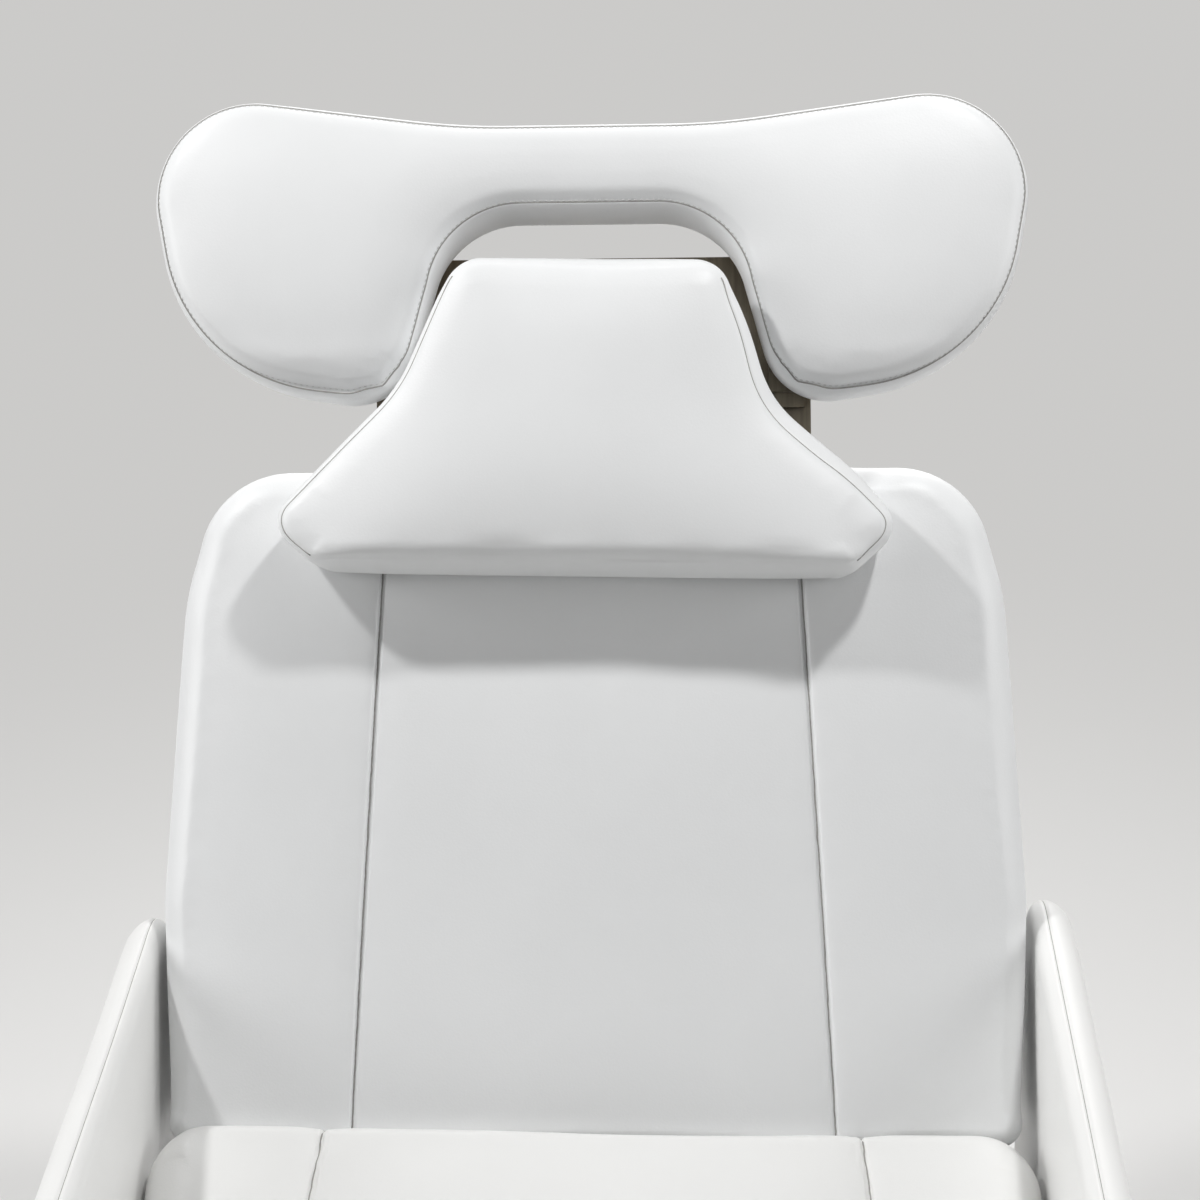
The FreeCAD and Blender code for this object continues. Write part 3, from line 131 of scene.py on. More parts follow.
def fine_outline(points, radii):
    """Closed outline with rounded corners as a dense list of points, counterclockwise."""
    count = len(points)
    pts = [np.array(p, float) for p in points]
    line = []
    for i in range(count):
        before, here, after = pts[i - 1], pts[i], pts[(i + 1) % count]
        u, v = unit_vector(before - here), unit_vector(after - here)
        half = math.acos(float(np.clip(u @ v, -1, 1))) / 2
        reach = radii[i] / math.tan(half)
        middle = unit_vector(u + v)
        centre = here + middle * radii[i] / math.sin(half)
        start, end = here + u * reach, here + v * reach
        a0 = math.atan2(*(start - centre)[::-1])
        a1 = math.atan2(*(end - centre)[::-1])
        sweep = (a1 - a0 + math.pi) % (2 * math.pi) - math.pi
        steps = max(3, int(abs(sweep) * radii[i] / ARC_SPACING))
        for k in range(steps + 1):
            a = a0 + sweep * k / steps
            line.append(centre + radii[i] * np.array([math.cos(a), math.sin(a)]))
    line = np.array(line)
    nxt = np.roll(line, -1, 0)
    area = (line[:, 0] * nxt[:, 1] - nxt[:, 0] * line[:, 1]).sum()
    return line if area > 0 else line[::-1].copy()


def sampled(line, step, columns=()):
    """Even points and inward normals along a closed line, closer together where a groove crosses it."""
    closed = np.vstack([line, line[:1]])
    run = np.concatenate([[0], np.cumsum(np.linalg.norm(np.diff(closed, axis=0), axis=1))])
    total = run[-1]
    spots = np.arange(round(total / step)) * total / round(total / step)
    for a, b in columns:
        a, b = np.array(a, float), np.array(b, float)
        along = unit_vector(b - a)
        side = (closed - a) @ np.array([-along[1], along[0]])
        for i in np.nonzero(side[:-1] * side[1:] <= 0)[0]:
            if side[i] == side[i + 1]:
                continue
            crossing = run[i] + (run[i + 1] - run[i]) * side[i] / (side[i] - side[i + 1])
            away = (spots - crossing + total / 2) % total - total / 2
            spots = spots[np.abs(away) > GROOVE_OFFSETS[-1] + step / 2]
            spots = np.concatenate([spots, (crossing + GROOVE_OFFSETS) % total])
    spots = np.sort(spots)
    points = np.stack([np.interp(spots, run, closed[:, k]) for k in (0, 1)], 1)
    ahead = np.stack([np.interp((spots + TANGENT_REACH) % total, run, closed[:, k]) for k in (0, 1)], 1)
    behind = np.stack([np.interp((spots - TANGENT_REACH) % total, run, closed[:, k]) for k in (0, 1)], 1)
    tangent = ahead - behind
    tangent /= np.linalg.norm(tangent, axis=1)[:, None]
    return points, np.stack([-tangent[:, 1], tangent[:, 0]], 1)


def away_from_line(xy, a, b):
    """Distance of points from the line through a and b."""
    a, b = np.array(a, float), np.array(b, float)
    along = unit_vector(b - a)
    return (xy - a) @ np.array([-along[1], along[0]])


def inside(points, ring):
    """Which points lie inside a closed ring."""
    x, y = points[:, 0][:, None], points[:, 1][:, None]
    x0, y0 = ring[:, 0], ring[:, 1]
    x1, y1 = np.roll(x0, -1), np.roll(y0, -1)
    crosses = (y0 > y) != (y1 > y)
    at = x0 + (y - y0) * (x1 - x0) / np.where(y1 == y0, 1e-9, y1 - y0)
    return (crosses & (x < at)).sum(1) % 2 == 1


def fill(ring, grid, columns=()):
    """Inner points and triangles that close a ring: the first indices are the ring's own."""
    low, high = ring.min(0), ring.max(0)
    rows = np.arange(low[1] + grid / 2, high[1], grid * ROW_SHARE)
    spots = []
    for k, row in enumerate(rows):
        xs = np.arange(low[0] + grid * (0.5 if k % 2 else 1.0), high[0], grid)
        spots.append(np.stack([xs, np.full(len(xs), row)], 1))
    spots = np.concatenate(spots)
    for a, b in columns:
        spots = spots[np.abs(away_from_line(spots, a, b)) > GROOVE_OFFSETS[-1] + grid * 0.45]
    for a, b in columns:
        a, b = np.array(a, float), np.array(b, float)
        length = np.linalg.norm(b - a)
        along = (b - a) / length
        across = np.array([-along[1], along[0]])
        for k in range(int(length / GROOVE_SPACING) + 1):
            spots = np.vstack([spots, a + along * k * GROOVE_SPACING + across * GROOVE_OFFSETS[:, None]])
    spots = spots[inside(spots, ring)]
    near = np.empty(len(spots))
    for i in range(0, len(spots), 2000):
        part = spots[i:i + 2000]
        near[i:i + 2000] = np.sqrt(((part[:, None] - ring[None]) ** 2).sum(2)).min(1)
    spots = spots[near > RING_CLEARANCE]
    points = np.vstack([ring, spots])
    count = len(ring)
    edges = [(i, (i + 1) % count) for i in range(count)]
    out = delaunay_2d_cdt([Vector(p) for p in points], edges, [], 1, 1e-7)
    back = [o[0] if o else -1 for o in out[3]]
    triangles = [[back[i] for i in f] for f in out[2]]
    return spots, [t for t in triangles if min(t) >= 0]


def relaxed(values, links, fixed, plateau, reach, spacing):
    """Heights of a skin that pulls towards a plateau over the given reach, from its fixed rim."""
    a, b = links
    count = len(values)
    degree = np.bincount(a, minlength=count) + np.bincount(b, minlength=count)
    pull = spacing * spacing / (4 * reach * reach)
    out = values.copy()
    out[~fixed] = plateau
    for _ in range(RELAX_STEPS):
        total = np.bincount(a, out[b], count) + np.bincount(b, out[a], count)
        fresh = (total / np.maximum(degree, 1) + pull * plateau) / (1 + pull)
        out = np.where(fixed, values, fresh)
    return out


def mesh_object(name, verts, faces, material, smooth=True):
    mesh = bpy.data.meshes.new(name)
    mesh.from_pydata([tuple(v) for v in verts], [], faces)
    mesh.validate()
    if smooth:
        mesh.polygons.foreach_set("use_smooth", [True] * len(mesh.polygons))
    obj = bpy.data.objects.new(name, mesh)
    bpy.context.scene.collection.objects.link(obj)
    mesh.materials.append(material)
    return obj


def facing_out(obj):
    """Turns every face outward."""
    bm = bmesh.new()
    bm.from_mesh(obj.data)
    bmesh.ops.recalc_face_normals(bm, faces=bm.faces)
    bm.to_mesh(obj.data)
    bm.free()


def eased(ring, times):
    """Closed ring with its points evened out, so that a tight corner doesn't fold over."""
    for _ in range(times):
        ring = 0.5 * ring + 0.25 * (np.roll(ring, 1, 0) + np.roll(ring, -1, 0))
    return ring


class Pad:
    """Closed cushion: rings from its rear face round its side to the front, and filled faces.

    profile: inset and depth of each ring. columns: lines that carry a groove. crown: height and
    reach of each swelling of the front face. shift and lift: functions that give each ring's insets
    and raise it towards the front. ease: how much the inner rings are evened out.
    """

    def __init__(self, outline, place, profile, step=3.2, grid=6.5, columns=(), crown=(), shift=None,
                 lift=None, ease=0.0):
        self.place = place
        line = fine_outline(*outline)
        self.rim, self.inward = sampled(line, step, columns)
        count = len(self.rim)
        flat, depth = [], []
        for inset, d in profile:
            inset = np.full(count, inset) if shift is None else shift(self.rim, self.inward, inset, d)
            flat.append(eased(self.rim + self.inward * inset[:, None], int(ease * (inset.mean() - 5))))
            raised = 0.0 if lift is None else lift(self.rim, self.inward, inset, d)
            depth.append(np.full(count, float(d)) - raised)
        self.count = count
        rings = len(profile)
        faces = []
        for k in range(rings - 1):
            for i in range(count):
                j = (i + 1) % count
                faces.append([k * count + i, k * count + j, (k + 1) * count + j, (k + 1) * count + i])
        top, bottom = flat[-1], flat[0]
        points = np.vstack(flat)
        depths = np.concatenate(depth)
        # front face, where a fill counts the ring's own points first
        inner, triangles = fill(top, grid, columns)
        base = (rings - 1) * count
        start = len(points)

        def index(i, first, offset):
            return first + i if i < count else offset + i - count

        faces += [[index(i, base, start) for i in t] for t in triangles]
        points = np.vstack([points, inner])
        fixed = np.ones(len(points), bool)
        fixed[start:] = False
        links = set()
        for t in triangles:
            t = [index(i, base, start) for i in t]
            for i in range(3):
                links.add((min(t[i], t[i - 1]), max(t[i], t[i - 1])))
        links = np.array(sorted(links)).T
        level = profile[-1][1]
        rise = np.zeros(len(points))
        for height, reach in crown:
            rise += relaxed(np.zeros(len(points)), links, fixed, height, reach, grid)
        if lift is not None:
            own = np.zeros(len(points))
            own[:start] = level - depths
            rise += relaxed(own, links, fixed, 0.0, 45.0, grid) * ~fixed
        depths = np.concatenate([depths, np.full(len(inner), level)]) - rise
        # rear face
        inner, triangles = fill(bottom, grid * 2.2)
        rear_start = len(points)
        faces += [[index(i, 0, rear_start) for i in t][::-1] for t in triangles]
        self.flat = np.vstack([points, inner])
        self.depth = np.concatenate([depths, np.full(len(inner), profile[0][1])])
        self.faces = faces
        self.ring = np.arange(len(self.flat)) // count
        self.ring[start:] = FRONT_FACE
        self.ring[rear_start:] = REAR_FACE

    def obj(self, name, material):
        verts = [self.place(x, y, d) for (x, y), d in zip(self.flat, self.depth)]
        made = mesh_object(name, verts, self.faces, material)
        facing_out(made)
        return made

    def on_ring(self, k):
        """Where ring k lies among the points."""
        return slice(k * self.count, (k + 1) * self.count)


def coords(obj):
    co = np.empty(len(obj.data.vertices) * 3)
    obj.data.vertices.foreach_get("co", co)
    return co.reshape(-1, 3)


def normals(obj):
    out = np.empty(len(obj.data.vertices) * 3)
    obj.data.vertices.foreach_get("normal", out)
    return out.reshape(-1, 3)


def set_coords(obj, co):
    obj.data.vertices.foreach_set("co", co.ravel())
    obj.data.update()


def press_in(obj, amount):
    """Moves every vertex inward along its normal by amount, in millimetres."""
    set_coords(obj, coords(obj) - normals(obj) * (amount * MM)[:, None])


def evened(obj, values, where, times):
    """Three values at each vertex, drawn towards those of its neighbours at the chosen vertices."""
    ends = np.empty(len(obj.data.edges) * 2, int)
    obj.data.edges.foreach_get("vertices", ends)
    a, b = ends[0::2], ends[1::2]
    count = len(values)
    degree = np.maximum(np.bincount(a, minlength=count) + np.bincount(b, minlength=count), 1)[:, None]
    for _ in range(times):
        near = np.stack([np.bincount(a, values[b, k], count) + np.bincount(b, values[a, k], count)
                         for k in range(3)], 1)
        values = np.where(where[:, None], 0.5 * values + 0.5 * near / degree, values)
    return values


def smoothed(obj, where, times):
    """Evens out the chosen part of the skin."""
    set_coords(obj, evened(obj, coords(obj), where, times))


WAVE_COUNT = 9


def waves(co, length, seed):
    """Smooth unevenness between -1 and 1, with bumps of about the given length in metres."""
    rng = np.random.default_rng(seed)
    total = np.zeros(len(co))
    for _ in range(WAVE_COUNT):
        way = rng.normal(size=3)
        way /= np.linalg.norm(way)
        total += np.sin(co @ way * (2 * math.pi / (length * rng.uniform(0.75, 1.6))) + rng.uniform(0, 6.28))
    return total / (WAVE_COUNT / 2)


# Cloth: stiffness, length of the run, and steps in which its moves are evened out
CLOTH_STIFFNESS = 12.0
CLOTH_FRAMES = 16
CLOTH_EVENING = 40


def inflate(obj, pinned, pressure, cap):
    """Blows the skin up with Cloth between its pinned seams, taut, each point within cap mm of its start."""
    start = coords(obj)
    group = obj.vertex_groups.new(name="pinned")
    group.add([int(i) for i in np.nonzero(pinned)[0]], 1.0, "REPLACE")
    cloth = obj.modifiers.new("Cloth", "CLOTH")
    s = cloth.settings
    s.quality = 4
    s.mass = 0.25
    s.tension_stiffness = CLOTH_STIFFNESS
    s.compression_stiffness = CLOTH_STIFFNESS
    s.shear_stiffness = CLOTH_STIFFNESS / 2
    s.bending_stiffness = 0.8
    s.tension_damping = 10
    s.compression_damping = 10
    s.air_damping = 2
    s.vertex_group_mass = "pinned"
    s.use_pressure = True
    s.uniform_pressure_force = pressure
    s.effector_weights.gravity = 0
    cloth.collision_settings.use_collision = False
    cloth.point_cache.frame_start = 1
    cloth.point_cache.frame_end = CLOTH_FRAMES
    scene = bpy.context.scene
    for f in range(1, CLOTH_FRAMES + 1):
        scene.frame_set(f)
    move = coords(obj.evaluated_get(bpy.context.evaluated_depsgraph_get())) - start
    length = np.linalg.norm(move, axis=1)
    move *= (np.minimum(length, cap * MM) / np.maximum(length, 1e-9))[:, None]
    move[pinned] = 0.0
    move = evened(obj, move, ~pinned, CLOTH_EVENING)
    obj.modifiers.remove(cloth)
    obj.vertex_groups.remove(group)
    scene.frame_set(1)
    set_coords(obj, start + move)


def subdivided(obj):
    """Rounds the mesh by one level of subdivision."""
    modifier = obj.modifiers.new("Smooth", "SUBSURF")
    modifier.levels = 1
    modifier.use_limit_surface = False
    shown = obj.evaluated_get(bpy.context.evaluated_depsgraph_get())
    mesh = bpy.data.meshes.new_from_object(shown)
    obj.modifiers.clear()
    mesh.name = obj.name
    obj.data = mesh


def finish_piece(obj, body, node=None):
    """Says what the piece rides on and, for a cushion, hides the CAD node that it stands for."""
    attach(obj, body)
    if node:
        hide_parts(node)


# Dark tubes of painted shade in the seams' grooves, in millimetres
SEAM_RADIUS = 0.55
PANEL_SEAM_RADIUS = 0.6
SHADE_TUBE_LIFT = 0.1
SHADE_TUBE_SIDES = 6
# A direction that no seam follows, from which a tube's section is turned
ASKEW = (0.31, 0.2, 0.93)


def tube(points, radius, closed):
    """Thin round tube through points, as a mesh."""
    sides = SHADE_TUBE_SIDES
    count = len(points)
    ahead = np.roll(points, -1, 0) if closed else np.vstack([points[1:], points[-1:]])
    behind = np.roll(points, 1, 0) if closed else np.vstack([points[:1], points[:-1]])
    tangent = ahead - behind
    tangent /= np.maximum(np.linalg.norm(tangent, axis=1), 1e-12)[:, None]
    normal = np.cross(tangent, ASKEW)
    normal /= np.linalg.norm(normal, axis=1)[:, None]
    other = np.cross(tangent, normal)
    verts = []
    for k in range(sides):
        a = 2 * math.pi * k / sides
        verts.append(points + (normal * math.cos(a) + other * math.sin(a)) * radius * MM)
    verts = np.stack(verts, 1).reshape(-1, 3)
    faces = []
    for i in range(count if closed else count - 1):
        j = (i + 1) % count
        for k in range(sides):
            m = (k + 1) % sides
            faces.append([i * sides + k, j * sides + k, j * sides + m, i * sides + m])
    if not closed:
        faces.append(list(range(sides)))
        faces.append([(count - 1) * sides + k for k in range(sides)][::-1])
    return verts, faces


def add_painted_seam_shade(name, line, up, radius, body, closed=False):
    """Dark tube of painted shade lying in a seam's groove: line are its points, up the surface normals there.
    """
    verts, faces = tube(line + up * SHADE_TUBE_LIFT * MM, radius, closed)
    finish_piece(mesh_object(name, verts, faces, painted_groove_shade), body)


# Stitches, in millimetres
STITCH_LENGTH = 2.5
STITCH_GAP = 1.5
STITCH_RADIUS = 0.34
STITCH_SIDES = 6
# Sections of a stitch: share of its length, rise and thickness as shares of its radius
STITCH_SECTIONS = ((0.0, -0.5, 0.5), (0.2, 0.35, 0.95), (0.5, 0.55, 1.0), (0.8, 0.35, 0.95), (1.0, -0.5, 0.5))


def stitch_row(points, normal):
    """Separate short thread stitches along a closed line on a surface with the given normals."""
    line = np.vstack([points, points[:1]])
    up = np.vstack([normal, normal[:1]])
    run = np.concatenate([[0], np.cumsum(np.linalg.norm(np.diff(line, axis=0), axis=1))])

    def along(values, t):
        return np.array([np.interp(t, run, values[:, k]) for k in range(3)])

    pitch = (STITCH_LENGTH + STITCH_GAP) * MM
    radius = STITCH_RADIUS * MM
    verts, faces = [], []
    for i in range(int(run[-1] / pitch)):
        start = len(verts)
        for share, rise, size in STITCH_SECTIONS:
            t = i * pitch + STITCH_LENGTH * MM * share
            n = unit_vector(along(up, t))
            ahead = along(line, min(t + 0.0003, run[-1])) - along(line, max(t - 0.0003, 0))
            side = np.cross(ahead / max(np.linalg.norm(ahead), 1e-12), n)
            for k in range(STITCH_SIDES):
                a = 2 * math.pi * k / STITCH_SIDES
                round_it = (n * math.cos(a) + side * math.sin(a)) * radius * size
                verts.append(along(line, t) + n * radius * rise + round_it)
        for j in range(len(STITCH_SECTIONS) - 1):
            a, b = start + j * STITCH_SIDES, start + (j + 1) * STITCH_SIDES
            for k in range(STITCH_SIDES):
                m = (k + 1) % STITCH_SIDES
                faces.append([a + k, a + m, b + m, b + k])
        last = start + (len(STITCH_SECTIONS) - 1) * STITCH_SIDES
        faces.append([start + k for k in range(STITCH_SIDES)][::-1])
        faces.append([last + k for k in range(STITCH_SIDES)])
    return verts, faces


# Materials

def surface(name, color, roughness, metallic=0.0, mottle=(30.0, 0.03), haze=(60.0, 0.05),
            bumps=(), stretch=(1, 1, 1), specular=0.5, tint=None, anisotropic=0.0):
    """Procedural finish. mottle and haze: scale and depth of the changes in colour and in roughness.

    bumps: layers of grain, each with scale, stretch, distance, strength and, if not noise, texture.
    """
    made = bpy.data.materials.new(name)
    made.use_nodes = True
    tree = made.node_tree
    nodes, links = tree.nodes, tree.links
    shader = nodes["Principled BSDF"]
    shader.inputs["Metallic"].default_value = metallic
    shader.inputs["Specular IOR Level"].default_value = specular
    shader.inputs["Anisotropic"].default_value = anisotropic
    place = nodes.new("ShaderNodeTexCoord")

    def noise(scale, stretch, detail=3.0, kind="ShaderNodeTexNoise"):
        mapping = nodes.new("ShaderNodeMapping")
        mapping.inputs["Scale"].default_value = stretch
        links.new(place.outputs["Object"], mapping.inputs["Vector"])
        texture = nodes.new(kind)
        texture.inputs["Scale"].default_value = scale
        if kind == "ShaderNodeTexNoise":
            texture.inputs["Detail"].default_value = detail
        links.new(mapping.outputs["Vector"], texture.inputs["Vector"])
        return texture

    spread = noise(mottle[0], stretch)
    ramp = nodes.new("ShaderNodeValToRGB")
    other = tint or tuple(c * (1 - 2.2 * mottle[1]) for c in color)
    ramp.color_ramp.elements[0].position = 0.3
    ramp.color_ramp.elements[0].color = (*other, 1)
    ramp.color_ramp.elements[1].position = 0.7
    ramp.color_ramp.elements[1].color = (*color, 1)
    links.new(spread.outputs["Fac"], ramp.inputs["Fac"])
    links.new(ramp.outputs["Color"], shader.inputs["Base Color"])
    cloud = noise(haze[0], stretch)
    span = nodes.new("ShaderNodeMapRange")
    span.inputs["From Min"].default_value = 0.3
    span.inputs["From Max"].default_value = 0.7
    span.inputs["To Min"].default_value = max(0.02, roughness - haze[1])
    span.inputs["To Max"].default_value = roughness + haze[1]
    links.new(cloud.outputs["Fac"], span.inputs["Value"])
    links.new(span.outputs["Result"], shader.inputs["Roughness"])
    last = None
    for entry in bumps:
        scale, way, distance, strength = entry[:4]
        kind = entry[4] if len(entry) > 4 else "ShaderNodeTexNoise"
        grain = noise(scale, way, 2.0, kind)
        bump = nodes.new("ShaderNodeBump")
        bump.inputs["Distance"].default_value = distance
        bump.inputs["Strength"].default_value = strength
        out = grain.outputs["Fac"] if kind == "ShaderNodeTexNoise" else grain.outputs["Distance"]
        links.new(out, bump.inputs["Height"])
        if last is not None:
            links.new(last.outputs["Normal"], bump.inputs["Normal"])
        last = bump
    if last is not None:
        links.new(last.outputs["Normal"], shader.inputs["Normal"])
    return made


LEATHER_GRAIN = (
    (620.0, (1, 1, 1), 0.00012, 0.35, "ShaderNodeTexVoronoi"),
    (1500.0, (1, 1, 1), 0.00006, 0.3),
    (26.0, (1, 1, 1), 0.0012, 0.12),
)
leather = surface("white_leather", (0.835, 0.842, 0.845), 0.42, mottle=(9.0, 0.012), haze=(18.0, 0.05),
                  bumps=LEATHER_GRAIN, specular=0.45)
seat_leather = surface("warm_white_leather", (0.85, 0.848, 0.835), 0.42, mottle=(9.0, 0.012),
                       haze=(18.0, 0.05), bumps=LEATHER_GRAIN, specular=0.45)
thread = surface("white_thread", (0.72, 0.72, 0.71), 0.7, mottle=(900.0, 0.08),
                 bumps=((2500.0, (1, 1, 1), 0.0001, 0.5),))
# Dark grey for the tubes laid in the seams' grooves: painted shade that stands in for the grooves' darkness
painted_groove_shade = surface("painted_groove_shade_finish", (0.40, 0.39, 0.37), 0.8, mottle=(200.0, 0.1),
                    bumps=((1500.0, (1, 1, 1), 0.0001, 0.4),))
finishes = {
    "base_chrome": surface("base_chrome", (0.80, 0.81, 0.82), 0.10, 1.0, (14.0, 0.02), (35.0, 0.035),
                           ((240.0, (1, 1, 1), 0.00003, 0.15),)),
    "ground_steel": surface("ground_steel", (0.62, 0.63, 0.64), 0.24, 1.0, (40.0, 0.05), (220.0, 0.06),
                            ((900.0, (1, 1, 6), 0.00004, 0.25),), anisotropic=0.3),
    "frame_paint": surface("frame_paint", (0.045, 0.047, 0.052), 0.44, 0.0, (30.0, 0.08), (50.0, 0.06),
                           ((420.0, (1, 1, 1), 0.00012, 0.25),), specular=0.5),
    "cast_metal": surface("cast_metal", (0.16, 0.16, 0.17), 0.55, 0.6, (60.0, 0.1), (90.0, 0.08),
                          ((500.0, (1, 1, 1), 0.0003, 0.5),)),
    "bearing_brass": surface("bearing_brass", (0.62, 0.44, 0.19), 0.28, 1.0, (50.0, 0.06), (120.0, 0.06),
                             ((700.0, (1, 1, 1), 0.00005, 0.2),)),
    "zinc_steel": surface("zinc_steel", (0.55, 0.55, 0.53), 0.34, 1.0, (260.0, 0.08), (150.0, 0.08),
                          ((900.0, (1, 1, 1), 0.00006, 0.3),)),
    "carrier_steel": surface("carrier_steel", (0.22, 0.195, 0.15), 0.42, 0.85, (60.0, 0.12), (90.0, 0.08),
                             ((420.0, (5, 0.25, 0.25), 0.00012, 0.4),), stretch=(6, 0.3, 0.3),
                             anisotropic=0.4),
    "crossbar_aluminium": surface("crossbar_aluminium", (0.60, 0.61, 0.62), 0.33, 1.0, (60.0, 0.05),
                                  (160.0, 0.06), ((500.0, (0.15, 4, 4), 0.00008, 0.3),),
                                  anisotropic=0.3),
    "white_shell": surface("white_shell", (0.80, 0.805, 0.80), 0.5, 0.0, (12.0, 0.015), (40.0, 0.05),
                           ((700.0, (1, 1, 1), 0.00012, 0.35),), specular=0.45),
    "black_plastic": surface("black_plastic", (0.03, 0.03, 0.032), 0.5, 0.0, (60.0, 0.1), (80.0, 0.06),
                             ((900.0, (1, 1, 1), 0.0001, 0.4),)),
    "black_rubber": surface("black_rubber", (0.028, 0.028, 0.03), 0.75, 0.0, (80.0, 0.12), (60.0, 0.06),
                            ((600.0, (1, 1, 1), 0.0002, 0.5),), specular=0.3),
    "plywood": surface("plywood", (0.60, 0.44, 0.27), 0.62, 0.0, (22.0, 0.1), (60.0, 0.06),
                       ((260.0, (4, 0.6, 0.6), 0.00025, 0.4),), stretch=(7, 0.7, 0.7),
                       tint=(0.44, 0.30, 0.17)),
}
slot_of = {s["node"]: s["material_slot"] for s in frame["record"]["subparts"]}
for node, obj in frame["nodes"].items():
    finish = finishes.get(slot_of[node], leather)
    obj.data.materials.clear()
    obj.data.materials.append(finish)


# Wing: the operator's armrest

WING_HALF = [(87.0, 677.5), (312.0, 708.0), (283.5, 554.0), (230.5, 499.5), (127.5, 483.0), (92.0, 612.3)]
WING_RADII = [505.0, 69.0, 116.0, 124.0, 46.0, 60.0]
WING = symmetric(WING_HALF, WING_RADII)
# The corner between the lobe's lower edge and the cutout, with its neighbours
HEEL = WING_HALF[3:6]
HEEL_RADIUS = WING_RADII[4]


def cross(a, b):
    return a[..., 0] * b[..., 1] - a[..., 1] * b[..., 0]


def heel_inset(rim, inward, inset, depth):
    """Insets of a ring near the seam, which runs to a point at each heel, where the outline is round."""
    toes, heel, crotch = (np.array(p) for p in HEEL)
    spot = np.stack([np.abs(rim[:, 0]), rim[:, 1]], 1)
    way = np.stack([inward[:, 0] * np.sign(rim[:, 0]), inward[:, 1]], 1)
    u, v = unit_vector(toes - heel), unit_vector(crotch - heel)
    middle = unit_vector(u + v)
    centre = heel + middle * HEEL_RADIUS / math.sin(math.acos(u @ v) / 2)
    rest = (HEEL_RADIUS - inset)[:, None]
    tip = centre - middle * rest
    extra = np.zeros(len(inset))
    for edge in (u, v):
        normal = np.array([-edge[1], edge[0]])
        normal *= np.sign(normal @ middle)
        end = centre - normal * rest
        on_side = np.sign(cross(middle, way)) == np.sign(cross(middle, normal))
        reach = cross(tip - spot, end - tip) / cross(way, end - tip)
        on_arc = np.linalg.norm(spot + way * HEEL_RADIUS - centre, axis=1) < 1.5
        extra = np.where(on_side & on_arc, reach - inset, extra)
    # the legs of the point curve softly into the outline
    apart = smooth_step((np.linalg.norm(spot + way * inset[:, None] - tip, axis=1) - 10) / 16)
    extra = eased(extra, 36) * apart + extra * (1 - apart)
    near_seam = unit((-12.5 - depth) / 3) * unit((17 - inset) / 8)
    return inset + extra * near_seam


def cutout_share(rim):
    """1 along the cutout between the lobes, 0 elsewhere."""
    return unit((rim[:, 1] - 500) / 50) * (np.abs(rim[:, 0]) < 122) * (rim[:, 1] < 650)


def make_wing():
    def shift(rim, inward, inset, depth):
        """The seam lies further in along the edges that face down, as the band leans there."""
        lean = unit(inward[:, 1]) * unit((14 - depth) / 34) * (1.5 + 6.3 * cutout_share(rim))
        return heel_inset(rim, inward, inset + lean, depth)

    def lift(rim, inward, inset, depth):
        """The seam lies nearer the front along the upper edges and the cutout, further back at the heels."""
        front = unit((-6 - depth) / 10)
        fade = np.exp(-np.maximum(inset - 5, 0) / 16)
        return front * inward[:, 1] * (-4.0 + 6.5 * cutout_share(rim)) * fade

    profile = [(15.0, 16.0), (8.0, 16.0), (4.4, 15.4), (2.2, 13.4), (0.9, 10.0), (0.2, 4.0), (0.0, -2.0),
               (0.3, -7.0), (0.9, -11.0), (1.8, -14.2), (2.5, -15.8), (3.0, -16.5)]
    seam = len(profile)
    profile += [(3.7, -16.3), (4.4, -17.3), (5.4, -18.6), (6.8, -20.2), (8.8, -21.9), (11.4, -23.5),
                (14.6, -24.9), (18.4, -26.0)]
    pad = Pad(WING, back_place, profile, step=3.3, grid=6.5, crown=((3.0, 14.0), (6.0, 34.0)),
              shift=shift, lift=lift, ease=0.7)
    obj = pad.obj("wing_cover", leather)
    ring = pad.ring
    inflate(obj, (ring <= 2) | (ring == seam), pressure=3.0, cap=6.0)
    smoothed(obj, ring > seam + 5, 14)
    amount = 0.4 * waves(coords(obj), 0.10, 3) * (ring > seam + 2)
    # the foam is thinner above the lower seam, most on the left lobe
    reach = 491.0 + 0.0022 * (np.abs(pad.flat[:, 0]) - 190) ** 2
    above = pad.flat[:, 1] - reach
    lobe = np.exp(-((np.abs(pad.flat[:, 0]) - 195) / 62) ** 2)
    share = np.where(pad.flat[:, 0] < 0, 1.0, 0.6)
    dent = 2.6 * np.exp(-((above - 4) / 11) ** 2) - 0.9 * np.exp(-((above - 27) / 8) ** 2)
    amount += (ring > seam) * lobe * share * dent
    press_in(obj, amount)
    at, beside = pad.on_ring(seam), pad.on_ring(seam + 1)
    line, up = coords(obj)[at], normals(obj)[at]
    row, row_up = coords(obj)[beside], normals(obj)[beside]
    subdivided(obj)
    finish_piece(obj, "wing", "wing_pad")
    # a dark tube along the seam's groove, painted shade
    add_painted_seam_shade("wing_painted_seam_shade", line, up, SEAM_RADIUS, "wing", closed=True)
    verts, faces = stitch_row(row, row_up)
    finish_piece(mesh_object("wing_stitches", verts, faces, thread), "wing")


# Pillow

PILLOW = symmetric(
    [(87.1, 580.6), (123.1, 492.1), (209.5, 402.7), (176.5, 366.5)],
    [24.0, 110.0, 20.0, 26.0],
)
# How the pillow is turned, the height that it turns about, and its shift to the side
PILLOW_TURN = math.radians(-1.1)
PILLOW_MIDDLE = 470.0
PILLOW_ASIDE = -1.3


def pillow_place(x, height, depth):
    """The pillow sits slightly turned in its plane, as in the photograph."""
    up = height - PILLOW_MIDDLE
    across = x * math.cos(PILLOW_TURN) - up * math.sin(PILLOW_TURN) + PILLOW_ASIDE
    height = PILLOW_MIDDLE + x * math.sin(PILLOW_TURN) + up * math.cos(PILLOW_TURN)
    return back_place(across, height, depth)


